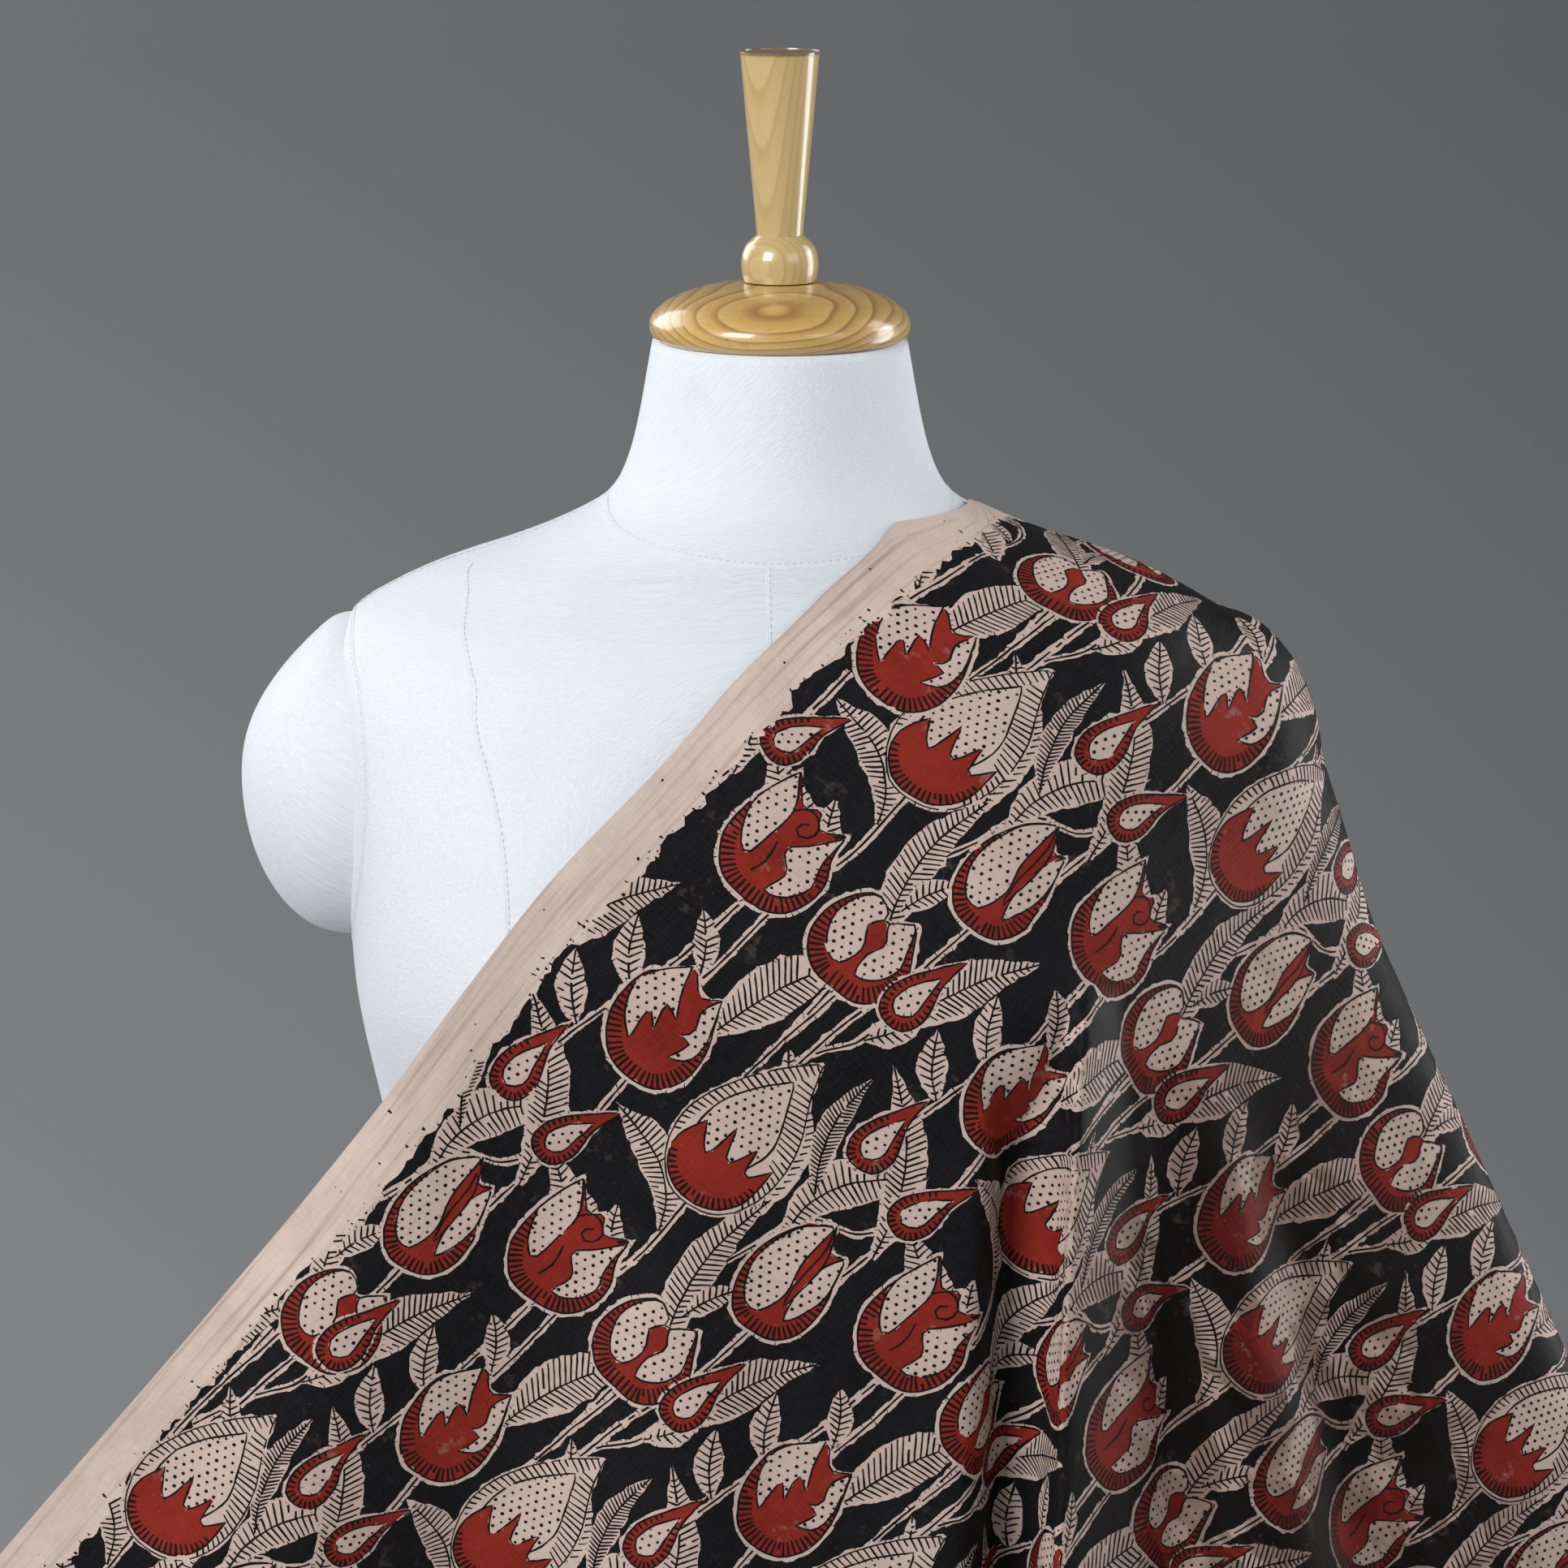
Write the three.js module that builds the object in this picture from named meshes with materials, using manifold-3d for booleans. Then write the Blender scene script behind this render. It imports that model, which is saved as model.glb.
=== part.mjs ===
// A cut length of block-printed silk draped over one shoulder of a canvas-covered dress form.
//
// Units are millimetres and +Z is up. The origin is the centre of the form's flat underside.
// The form faces -Y, and the silk lies over the shoulder on the +X side, which is the form's left.
// The silk is one thin sheet. Its selvage runs round the foot of the neck, down across the chest to the
// table on the -X side, and down the back; its other edge is cut level along the table and runs out on it.

import * as THREE from 'three';
import { mergeVertices } from 'three/addons/utils/BufferGeometryUtils.js';
import Module from 'manifold-3d';

// ---------------------------------------------------------------- driving dimensions

const SEAT_GAP = 0.3; // between two pieces that touch
const RING_SIDES = 40; // sides of the form's rings
const SIDE_CROWDING = 0.65; // draws the rings' corners towards the form's sides
const TURNED_SIDES = 32; // sides of the turned wood

// The form's level sections: half the width, the depths before and behind the shoulder plane, and how
// square the outline is, 2 being an ellipse.
const FORM = [
  { z: 0, half: 172, front: 112, back: 124, square: 2.2 },
  { z: 80, half: 177, front: 116, back: 129, square: 2.2 },
  { z: 150, half: 168, front: 112, back: 119, square: 2.2 },
  { z: 220, half: 152, front: 104, back: 101, square: 2.2 },
  { z: 285, half: 145, front: 99, back: 91, square: 2.2 },
  { z: 340, half: 150, front: 103, back: 90, square: 2.25 },
  { z: 420, half: 167, front: 118, back: 97, square: 2.4 },
  { z: 485, half: 178, front: 130, back: 107, square: 2.7 },
  { z: 540, half: 181, front: 123, back: 110, square: 2.8 },
  { z: 590, half: 184, front: 107, back: 106, square: 2.8 },
  { z: 618, half: 184, front: 97, back: 100, square: 2.5 },
  { z: 633, half: 177, front: 90, back: 95, square: 2.2 },
  { z: 643, half: 162, front: 85, back: 90, square: 2 },
  { z: 653, half: 140, front: 80, back: 85, square: 1.9 },
  { z: 662, half: 112, front: 76, back: 80, square: 1.9 },
  { z: 672, half: 87, front: 72, back: 75, square: 2 },
  { z: 681, half: 72, front: 67, back: 69, square: 2 },
  { z: 690, half: 65.5, front: 62, back: 64, square: 2 },
  { z: 706, half: 60, front: 57, back: 59, square: 2 },
  { z: 745, half: 52.5, front: 52, back: 53, square: 2 },
];
const FORM_LEVELS = [
  0, 40, 80, 115, 150, 185, 220, 250, 285, 315, 345, 370, 395, 420, 440, 460, 480, 500, 520, 542, 566,
  590, 606, 619, 628, 635, 641, 647, 653, 659, 665, 671, 676, 682, 690, 704, 724, 745,
];
const BUST = { across: 84, z: 482, rise: 21, wide: 50, tall: 54 }; // each of the two mounds on the front

// The padded cap that fills each armhole, an upright half ellipsoid.
const ARM = { plane: 181, bulge: 44, z: 563, tall: 68, deep: 57, root: 26, rings: 7, sides: 28 };

// Turned wood: radius and height of each point of the profiles.
const CAP_PROFILE = [
  [0, 745.3], [49.5, 745.3], [52.6, 747.4], [53.7, 751], [52.6, 755.4], [47.5, 760.4], [39, 764.4],
  [28.5, 767.2], [17, 769], [0, 769],
];
const FINIAL_PROFILE = [
  [0, 769.3], [14.8, 769.3], [15.6, 772.6], [15.9, 776.6], [15.4, 780.8], [13.7, 784.6], [11, 787.2],
  [9.6, 788.4], [9.8, 792], [16.2, 861.2], [15.7, 862.8], [0, 862.8],
];

// The silk.
const CLOTH_THICK = 1.5;
const CLOTH_CLEAR = 2.8; // from the form to the middle of the sheet
const RUN_OUT = 34; // how far the cut edge lies out on the table

// Where the sheet is led at each level: its front edge, which is the selvage, the pleat that falls beside
// the bust, the fold at its side with the radius that it turns through, and its back edge.
const DRAPE = [
  { z: 0, edgeX: -541, edgeY: -160, pleatX: 124, sideX: 484, sideY: 0, turn: 30, backX: -18, backY: 139 },
  { z: 150, edgeX: -417, edgeY: -155, pleatX: 121, sideX: 417, sideY: -4, turn: 22, backX: -4, backY: 134 },
  { z: 274, edgeX: -314, edgeY: -152, pleatX: 119, sideX: 360, sideY: -7, turn: 16, backX: 8, backY: 122 },
  { z: 404, edgeX: -204, edgeY: -151, pleatX: 118, sideX: 299, sideY: -10, turn: 15, backX: 19, backY: 117 },
  { z: 465, edgeX: -156, edgeY: -151, pleatX: 118, sideX: 269, sideY: -10, turn: 18, backX: 24, backY: 115 },
  { z: 505, edgeX: -127, edgeY: -151, pleatX: 118, sideX: 250, sideY: -8, turn: 24, backX: 27, backY: 114 },
  { z: 553, edgeX: -88, edgeY: -142, pleatX: 118, sideX: 234, sideY: -4, turn: 40, backX: 31, backY: 113 },
  { z: 596, edgeX: -43, edgeY: -120, pleatX: 114, sideX: 217, sideY: 0, turn: 30, backX: 35, backY: 106 },
  { z: 624, edgeX: -17, edgeY: -104, pleatX: 106, sideX: 190, sideY: 0, turn: 20, backX: 38, backY: 96 },
  { z: 650, edgeX: 13, edgeY: -86, pleatX: 88, sideX: 146, sideY: 0, turn: 10, backX: 41, backY: 84 },
  { z: 663, edgeX: 28, edgeY: -74, pleatX: 76, sideX: 106, sideY: 0, turn: 5, backX: 43, backY: 74 },
  { z: 671, edgeX: 38, edgeY: -66, pleatX: 68, sideX: 86, sideY: 0, turn: 3, backX: 44, backY: 66 },
  { z: 679, edgeX: 54, edgeY: -44, pleatX: 62, sideX: 72, sideY: 0, turn: 2, backX: 52, backY: 48 },
];

// Each fold: the line it is measured from, how far along the sheet it lies from that line at its top and at
// the table, the level where it starts, its depth and half its width at the table. A depth under 0 is a
// trough, lean rolls the fold's crest towards the front edge, and growth is how its depth grows on the way
// down, 1 being evenly. The fourth and fifth rows make one pleat, whose crest laps over its trough.
const FOLDS = [
  { from: 'pleat', top: -250, foot: -430, start: 380, depth: 20, wide: 95, lean: 0, growth: 0.8 },
  { from: 'pleat', top: -200, foot: -310, start: 430, depth: -22, wide: 85, lean: 0, growth: 0.8 },
  { from: 'pleat', top: -150, foot: -180, start: 470, depth: 20, wide: 80, lean: 0, growth: 0.8 },
  { from: 'pleat', top: -23, foot: -21, start: 530, depth: -38, wide: 40, lean: 0, growth: 0.4 },
  { from: 'pleat', top: 9, foot: 21, start: 500, depth: 32, wide: 42, lean: 44, growth: 0.35 },
  { from: 'pleat', top: 44, foot: 62, start: 480, depth: -8, wide: 34, lean: 0, growth: 0.8 },
  { from: 'pleat', top: 66, foot: 120, start: 470, depth: 24, wide: 72, lean: 0, growth: 0.8 },
  { from: 'pleat', top: 96, foot: 215, start: 430, depth: -18, wide: 64, lean: 0, growth: 0.8 },
  { from: 'side', top: 34, foot: 72, start: 520, depth: -26, wide: 54, lean: 0, growth: 0.8 },
  { from: 'side', top: 62, foot: 150, start: 540, depth: 34, wide: 58, lean: 0, growth: 0.8 },
  { from: 'side', top: 92, foot: 232, start: 540, depth: -32, wide: 60, lean: 0, growth: 0.8 },
  { from: 'side', top: 125, foot: 318, start: 530, depth: 34, wide: 62, lean: 0, growth: 0.8 },
  { from: 'side', top: 160, foot: 405, start: 500, depth: -24, wide: 60, lean: 0, growth: 0.8 },
  { from: 'side', top: 185, foot: 475, start: 480, depth: 20, wide: 56, lean: 0, growth: 0.8 },
];
const FOLD_TOP_WIDTH = 0.35; // a fold's width where it starts, as a share of its width at the table

// The hem, where the sheet turns out on the table: levels, and how far out from the hanging part.
const HEM = [
  { z: 5, away: 2.5 },
  { z: CLOTH_THICK / 2, away: 9 },
  { z: CLOTH_THICK / 2, away: RUN_OUT },
];

// Columns of the sheet's mesh from its edge to the pleat, on to the side, and on to its back edge.
const COLUMNS = [
  { count: 18, share: (t) => 1 - (1 - t) ** 1.6 }, // closer together at the pleat
  { count: 18, share: (t) => t ** 1.3 },
  { count: 23, share: (t) => t },
];
const CLOTH_LEVELS = [
  679, 674, 669, 664, 659, 653, 647, 640, 631, 620, 606, 590, 572, 552, 530, 506, 480, 452, 422, 388, 350,
  310, 266, 220, 172, 124, 78, 40, 14,
];

// ---------------------------------------------------------------- helpers

// The smooth value of one column of a table at a level.
function at(rows, name, z) {
  const last = rows.length - 1;
  const level = THREE.MathUtils.clamp(z, rows[0].z, rows[last].z);
  let i = 0;
  while (i < last - 1 && rows[i + 1].z < level) i += 1;
  const slope = (k) => (rows[k + 1][name] - rows[k][name]) / (rows[k + 1].z - rows[k].z);
  const tangent = (k) => {
    if (k === 0) return slope(0);
    if (k === last) return slope(last - 1);
    const [before, after] = [slope(k - 1), slope(k)];
    return before * after <= 0 ? 0 : (2 * before * after) / (before + after);
  };
  const span = rows[i + 1].z - rows[i].z;
  const t = (level - rows[i].z) / span;
  const [t2, t3] = [t * t, t * t * t];
  return (
    (2 * t3 - 3 * t2 + 1) * rows[i][name] +
    (t3 - 2 * t2 + t) * span * tangent(i) +
    (3 * t2 - 2 * t3) * rows[i + 1][name] +
    (t3 - t2) * span * tangent(i + 1)
  );
}


// A closed mesh from rings of equal length, each end closed by a fan to the ring's centre.
function ringSolid(rings) {
  const count = rings[0].length;
  const position = rings.flat(2);
  const index = [];
  for (let r = 0; r + 1 < rings.length; r += 1) {
    for (let c = 0; c < count; c += 1) {
      const [a, b] = [r * count + c, r * count + ((c + 1) % count)];
      index.push(a, b, b + count, a, b + count, a + count);
    }
  }
  const capEnd = (first, reversed) => {
    const ring = rings[first / count];
    const centre = [0, 1, 2].map((k) => ring.reduce((sum, p) => sum + p[k], 0) / count);
    const hub = position.length / 3;
    position.push(...centre);
    for (let c = 0; c < count; c += 1) {
      const [a, b] = [first + c, first + ((c + 1) % count)];
      index.push(hub, reversed ? b : a, reversed ? a : b);
    }
  };
  capEnd(0, true);
  capEnd((rings.length - 1) * count, false);
  const geometry = new THREE.BufferGeometry();
  geometry.setAttribute('position', new THREE.Float32BufferAttribute(position, 3));
  geometry.setIndex(index);
  return geometry;
}

// ---------------------------------------------------------------- the form

// How far the form reaches from its axis at a level, in the direction of a unit vector.
function formReach(z, [ux, uy]) {
  const square = at(FORM, 'square', z);
  const depth = at(FORM, uy < 0 ? 'front' : 'back', z);
  const inverse = (Math.abs(ux) / at(FORM, 'half', z)) ** square + (Math.abs(uy) / depth) ** square;
  const reach = inverse ** (-1 / square);
  if (uy >= 0) return reach;
  const aside = (Math.abs(reach * ux) - BUST.across) / BUST.wide;
  const above = (z - BUST.z) / BUST.tall;
  return reach - BUST.rise * Math.exp(-aside * aside - above * above) * uy;
}

// The same with the form's surface moved out by ease, square to its slope.
function easedReach(z, unit, ease) {
  const steps = [-3, -2, -1, 0, 1, 2, 3];
  return Math.max(...steps.map((step) => {
    const tilt = (step / 6) * Math.PI;
    return formReach(z + ease * Math.sin(tilt), unit) + ease * Math.cos(tilt);
  }));
}

// A direction from the axis, the directions being closer together towards the form's sides.
function direction(angle) {
  const [x, y] = [Math.cos(angle), Math.sin(angle) * SIDE_CROWDING];
  const size = Math.hypot(x, y);
  return [x / size, y / size];
}

function formGeometry(ease = 0) {
  return ringSolid(FORM_LEVELS.map((z) => Array.from({ length: RING_SIDES }, (_, c) => {
    const unit = direction((c / RING_SIDES) * 2 * Math.PI);
    const reach = ease > 0 ? easedReach(z, unit, ease) : formReach(z, unit);
    return [unit[0] * reach, unit[1] * reach, z];
  })));
}

// The arm cap on one side, with a root that reaches into the form and is cut away by it.
function armGeometry(side) {
  const rings = [];
  for (let r = -1; r < ARM.rings; r += 1) {
    const turn = (Math.max(r, 0) / ARM.rings) * (Math.PI / 2);
    const x = r < 0 ? ARM.plane - ARM.root : ARM.plane + ARM.bulge * Math.sin(turn);
    rings.push(Array.from({ length: ARM.sides }, (_, c) => {
      const angle = side * (c / ARM.sides) * 2 * Math.PI;
      return [
        side * x,
        ARM.deep * Math.cos(turn) * Math.cos(angle),
        ARM.z + ARM.tall * Math.cos(turn) * Math.sin(angle),
      ];
    }));
  }
  return ringSolid(rings);
}

// ---------------------------------------------------------------- the silk

// The directions in which the outline under the sheet is measured.
const OUTLINE = Array.from({ length: 61 }, (_, step) => direction((step / 30 - 1) * 0.72 * Math.PI));

// The outline that the sheet is stretched over at a level. Below the bust and the shoulder blades the silk
// hangs free, so reach holds the farthest that the form has come at or above that level.
function outlineAt(z, reach) {
  const points = OUTLINE.map(([ux, uy], i) => [ux * reach[i], uy * reach[i]]);
  const rise = Math.min(Math.abs(z - ARM.z) / (ARM.tall + CLOTH_CLEAR), 1);
  const section = Math.sqrt(1 - rise * rise);
  for (let step = -8; section > 0 && step <= 8; step += 1) {
    const angle = (step / 8) * (Math.PI / 2);
    points.push([
      ARM.plane + (ARM.bulge + CLOTH_CLEAR) * section * Math.cos(angle),
      (ARM.deep + CLOTH_CLEAR) * section * Math.sin(angle),
    ]);
  }
  return points;
}

// Moves a point of the sheet out, level, until it clears the form and its arm cap.
function cleared([x, y, z]) {
  const far = Math.hypot(x, y);
  const scale = Math.max(1, easedReach(z, [x / far, y / far], CLOTH_CLEAR) / far);
  const [outX, outY] = [x * scale, y * scale];
  const across = (outX - ARM.plane) / (ARM.bulge + CLOTH_CLEAR);
  const deep = outY / (ARM.deep + CLOTH_CLEAR);
  const tall = (z - ARM.z) / (ARM.tall + CLOTH_CLEAR);
  const room = 1 - tall * tall;
  const used = across * across + deep * deep;
  if (across <= 0 || used >= room) return [outX, outY, z];
  const grow = Math.sqrt(room / used);
  return [ARM.plane + (outX - ARM.plane) * grow, outY * grow, z];
}

const cross = (o, a, b) => (a[0] - o[0]) * (b[1] - o[1]) - (a[1] - o[1]) * (b[0] - o[0]);

// The convex outline round a set of points, turning to the left.
function wrap(points) {
  const sorted = [...points].sort((a, b) => a[0] - b[0] || a[1] - b[1]);
  const half = (list) => {
    const kept = [];
    for (const p of list) {
      while (kept.length > 1 && cross(kept.at(-2), kept.at(-1), p) <= 0) kept.pop();
      kept.push(p);
    }
    kept.pop();
    return kept;
  };
  return half(sorted).concat(half(sorted.reverse()));
}

// The taut section of the sheet at a level, from its front edge round its side to its back edge.
function tautSection(z, reach) {
  const row = (name) => at(DRAPE, name, z);
  const front = [row('edgeX'), row('edgeY')];
  const back = [row('backX'), row('backY')];
  const points = outlineAt(z, reach).filter(([x, y]) => x > (y < 0 ? front[0] : back[0]));
  const [turn, sideX, sideY] = [row('turn'), row('sideX'), row('sideY')];
  for (let step = -6; step <= 6; step += 1) {
    const angle = (step / 6) * (Math.PI / 2);
    points.push([sideX - turn + turn * Math.cos(angle), sideY + turn * Math.sin(angle)]);
  }
  const outline = wrap([...points, front, back]);
  const nearest = (target) => {
    const far = outline.map((p) => Math.hypot(p[0] - target[0], p[1] - target[1]));
    return far.indexOf(Math.min(...far));
  };
  const [first, end] = [nearest(front), nearest(back)];
  const chain = [];
  for (let i = first; ; i = (i + 1) % outline.length) {
    chain.push(outline[i]);
    if (i === end) break;
  }
  return chain;
}

// Distances along a chain of points, and the point at a distance.
function measured(chain) {
  const along = [0];
  for (let i = 1; i < chain.length; i += 1) {
    along.push(along[i - 1] + Math.hypot(chain[i][0] - chain[i - 1][0], chain[i][1] - chain[i - 1][1]));
  }
  const pointAt = (distance) => {
    let i = 1;
    while (i < chain.length - 1 && along[i] < distance) i += 1;
    const t = (distance - along[i - 1]) / (along[i] - along[i - 1]);
    return [0, 1].map((k) => chain[i - 1][k] + t * (chain[i][k] - chain[i - 1][k]));
  };
  return { along, length: along.at(-1), pointAt };
}

// Distances of the sheet's columns along a section, and where the pleat and the side lie on it.
function stations(z, chain, line) {
  let side = 0;
  chain.forEach((p, i) => { if (p[0] > chain[side][0]) side = i; });
  const pleatX = at(DRAPE, 'pleatX', z);
  let i = 1;
  while (chain[i][0] < pleatX && i < side) i += 1;
  const t = (pleatX - chain[i - 1][0]) / (chain[i][0] - chain[i - 1][0]);
  const pleat = line.along[i - 1] + THREE.MathUtils.clamp(t, 0, 1) * (line.along[i] - line.along[i - 1]);
  const stops = [0, pleat, line.along[side], line.length];
  const columns = [0];
  COLUMNS.forEach(({ count, share }, part) => {
    for (let c = 1; c <= count; c += 1) {
      columns.push(stops[part] + share(c / count) * (stops[part + 1] - stops[part]));
    }
  });
  return { columns, pleat, side: line.along[side] };
}

// The middle of the sheet, row by row from the neck down and out over the table.
function sheetRows() {
  const reach = OUTLINE.map(() => 0);
  const sections = CLOTH_LEVELS.map((z) => {
    OUTLINE.forEach((unit, i) => { reach[i] = Math.max(reach[i], easedReach(z, unit, CLOTH_CLEAR)); });
    const chain = tautSection(z, reach);
    const line = measured(chain);
    const { columns, pleat, side } = stations(z, chain, line);
    return { z, columns, pleat, side, points: columns.map(line.pointAt) };
  });
  // Rounds off the corners that a taut outline has.
  for (let pass = 0; pass < 2; pass += 1) {
    for (const section of sections) {
      section.points = section.points.map((p, c, all) => {
        if (c === 0 || c === all.length - 1) return p;
        return [0, 1].map((k) => (all[c - 1][k] + 2 * p[k] + all[c + 1][k]) / 4);
      });
    }
  }
  const rows = sections.map(({ z, columns, pleat, side, points }) => points.map(([x, y], c) => {
    const [a, b] = [points[Math.max(c - 1, 0)], points[Math.min(c + 1, points.length - 1)]];
    const size = Math.hypot(b[0] - a[0], b[1] - a[1]);
    const out = [(b[1] - a[1]) / size, -(b[0] - a[0]) / size];
    let [push, roll] = [0, 0];
    for (const fold of FOLDS) {
      const fallen = THREE.MathUtils.clamp((fold.start - z) / fold.start, 0, 1);
      const centre = (fold.from === 'pleat' ? pleat : side) + fold.top + (fold.foot - fold.top) * fallen;
      const wide = fold.wide * THREE.MathUtils.lerp(FOLD_TOP_WIDTH, 1, fallen);
      const off = Math.abs(columns[c] - centre) / wide;
      if (off < 1) {
        const share = THREE.MathUtils.smoothstep(1 - off, 0, 1) * fallen ** fold.growth;
        push += fold.depth * share;
        roll -= fold.lean * share;
      }
    }
    const folded = [x + out[0] * push - out[1] * roll, y + out[1] * push + out[0] * roll, z];
    return { place: cleared(folded), out };
  }));
  const hem = rows.at(-1);
  for (const { z, away } of HEM) {
    rows.push(hem.map(({ place, out }) => (
      { place: [place[0] + out[0] * away, place[1] + out[1] * away, z], out }
    )));
  }
  return rows.map((row) => row.map(({ place }) => new THREE.Vector3(...place)));
}

// The sheet as one closed solid: the middle surface moved half the thickness each way, joined round its edge.
function sheetGeometry() {
  const rows = sheetRows();
  const [tall, across] = [rows.length, rows[0].length];
  const normal = (r, c) => {
    const down = rows[Math.min(r + 1, tall - 1)][c].clone().sub(rows[Math.max(r - 1, 0)][c]);
    const along = rows[r][Math.min(c + 1, across - 1)].clone().sub(rows[r][Math.max(c - 1, 0)]);
    return r >= tall - 2 ? new THREE.Vector3(0, 0, 1) : down.cross(along).normalize();
  };
  const position = [];
  for (const side of [1, -1]) {
    rows.forEach((row, r) => row.forEach((p, c) => {
      position.push(...p.clone().addScaledVector(normal(r, c), (side * CLOTH_THICK) / 2).toArray());
    }));
  }
  const index = [];
  const quad = (a, b, c, d) => index.push(a, b, c, a, c, d);
  const inner = tall * across;
  for (let r = 0; r + 1 < tall; r += 1) {
    for (let c = 0; c + 1 < across; c += 1) {
      const [a, b] = [r * across + c, (r + 1) * across + c];
      quad(a, b, b + 1, a + 1);
      quad(inner + a, inner + a + 1, inner + b + 1, inner + b);
    }
    const [left, right] = [r * across, r * across + across - 1];
    quad(left, left + inner, left + across + inner, left + across);
    quad(right, right + across, right + across + inner, right + inner);
  }
  for (let c = 0; c + 1 < across; c += 1) {
    const low = (tall - 1) * across + c;
    quad(c, c + 1, c + 1 + inner, c + inner);
    quad(low, low + inner, low + 1 + inner, low + 1);
  }
  const geometry = new THREE.BufferGeometry();
  geometry.setAttribute('position', new THREE.Float32BufferAttribute(position, 3));
  geometry.setIndex(index);
  return geometry;
}

// ---------------------------------------------------------------- cutting

const wasm = await Module();
wasm.setup();

function solid(geometry) {
  const bare = geometry.clone();
  for (const name of ['normal', 'uv']) bare.deleteAttribute(name);
  const merged = mergeVertices(bare, 1e-4);
  return new wasm.Manifold(new wasm.Mesh({
    numProp: 3,
    vertProperties: Float32Array.from(merged.attributes.position.array),
    triVerts: Uint32Array.from(merged.index.array),
  }));
}

function geometryOf(manifold) {
  const mesh = manifold.getMesh();
  const geometry = new THREE.BufferGeometry();
  geometry.setAttribute('position', new THREE.Float32BufferAttribute(mesh.vertProperties, 3));
  geometry.setIndex(Array.from(mesh.triVerts));
  return geometry;
}

// ---------------------------------------------------------------- assembly

const canvas = { color: 0xf1f2f4, roughness: 0.9, metalness: 0 };
const wood = { color: 0xc8a05c, roughness: 0.28, metalness: 0 };
const paleWood = { color: 0xd8b87c, roughness: 0.28, metalness: 0 };
const silk = { color: 0x2a2320, roughness: 0.6, metalness: 0 };

function mesh(name, geometry, look) {
  const made = new THREE.Mesh(geometry, new THREE.MeshStandardMaterial(look));
  made.name = name;
  return made;
}

function turned(profile) {
  const lathe = new THREE.LatheGeometry(profile.map(([r, z]) => new THREE.Vector2(r, z)), TURNED_SIDES);
  return lathe.rotateX(Math.PI / 2);
}

const group = new THREE.Group();
group.add(mesh('form_body', formGeometry(), canvas));

const cutter = solid(formGeometry(SEAT_GAP));
for (const [name, side] of [['arm_cap_left', 1], ['arm_cap_right', -1]]) {
  group.add(mesh(name, geometryOf(solid(armGeometry(side)).subtract(cutter)), canvas));
}

group.add(mesh('neck_cap', turned(CAP_PROFILE), wood));
group.add(mesh('finial', turned(FINIAL_PROFILE), paleWood));
group.add(mesh('silk', sheetGeometry(), silk));

export default group;
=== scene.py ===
import math
from functools import reduce

import bpy
import numpy as np
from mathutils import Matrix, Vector
from mathutils.bvhtree import BVHTree
from mathutils.geometry import delaunay_2d_cdt
from mathutils.kdtree import KDTree


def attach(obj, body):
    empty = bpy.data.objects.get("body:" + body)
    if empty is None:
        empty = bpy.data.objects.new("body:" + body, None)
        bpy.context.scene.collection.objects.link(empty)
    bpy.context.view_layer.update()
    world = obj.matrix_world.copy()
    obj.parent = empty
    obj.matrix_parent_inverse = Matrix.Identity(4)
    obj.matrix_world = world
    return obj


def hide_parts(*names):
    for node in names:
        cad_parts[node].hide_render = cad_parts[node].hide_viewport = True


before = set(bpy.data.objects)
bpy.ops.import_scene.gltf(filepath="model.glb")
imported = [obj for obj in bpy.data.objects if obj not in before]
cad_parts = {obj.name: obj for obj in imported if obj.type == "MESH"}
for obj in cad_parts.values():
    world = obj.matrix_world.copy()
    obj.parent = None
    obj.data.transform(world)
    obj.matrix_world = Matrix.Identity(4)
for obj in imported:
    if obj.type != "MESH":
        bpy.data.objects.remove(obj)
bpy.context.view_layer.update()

MM = 0.001

# ------------------------------------------------------------------ the studio
# A small round table with a pale lacquered top stands before a plain grey wall of light. A broad lamp
# shines from the front left, and a tall narrow one draws the bright line down the turned wood's right side.

CAMERA_AIM, CAMERA_AWAY = Vector((0.0017, 0, 0.558)), 2.198
CAMERA_PITCH = math.radians(12.5)
CAMERA_LENS, CAMERA_SENSOR = 120.45, 36

camera = bpy.data.objects.new("camera", bpy.data.cameras.new("camera"))
bpy.context.scene.collection.objects.link(camera)
camera.data.sensor_width = CAMERA_SENSOR
camera.data.lens = CAMERA_LENS
camera.data.clip_start = 0.05
backwards = Vector((0, -math.cos(CAMERA_PITCH), math.sin(CAMERA_PITCH)))
camera.location = CAMERA_AIM + backwards * CAMERA_AWAY
camera.rotation_euler = backwards.to_track_quat("Z", "Y").to_euler()
bpy.context.scene.camera = camera

for name, place, aim_z, wide, tall, watts in (
    ("key lamp", (-1.35, -1.7, 1.7), 0.6, 1.1, 1.1, 63),
    ("fill lamp", (1.4, -1.5, 1.5), 0.6, 1.2, 1.2, 10),
    ("side lamp", (1.4, 0.6, 1.5), 0.75, 0.5, 0.9, 5),
    ("edge lamp", (1.1, 0.30, 0.66), 0.66, 0.45, 1.2, 11),
    ("back lamp", (-1.3, 1.1, 1.3), 0.5, 1.2, 1.2, 17),
):
    light = bpy.data.lights.new(name, "AREA")
    light.shape = "RECTANGLE"
    light.size, light.size_y = wide, tall
    light.energy = watts
    lamp = bpy.data.objects.new(name, light)
    lamp.location = place
    lamp.rotation_euler = (lamp.location - Vector((0, 0, aim_z))).to_track_quat("Z", "Y").to_euler()
    bpy.context.scene.collection.objects.link(lamp)


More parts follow.
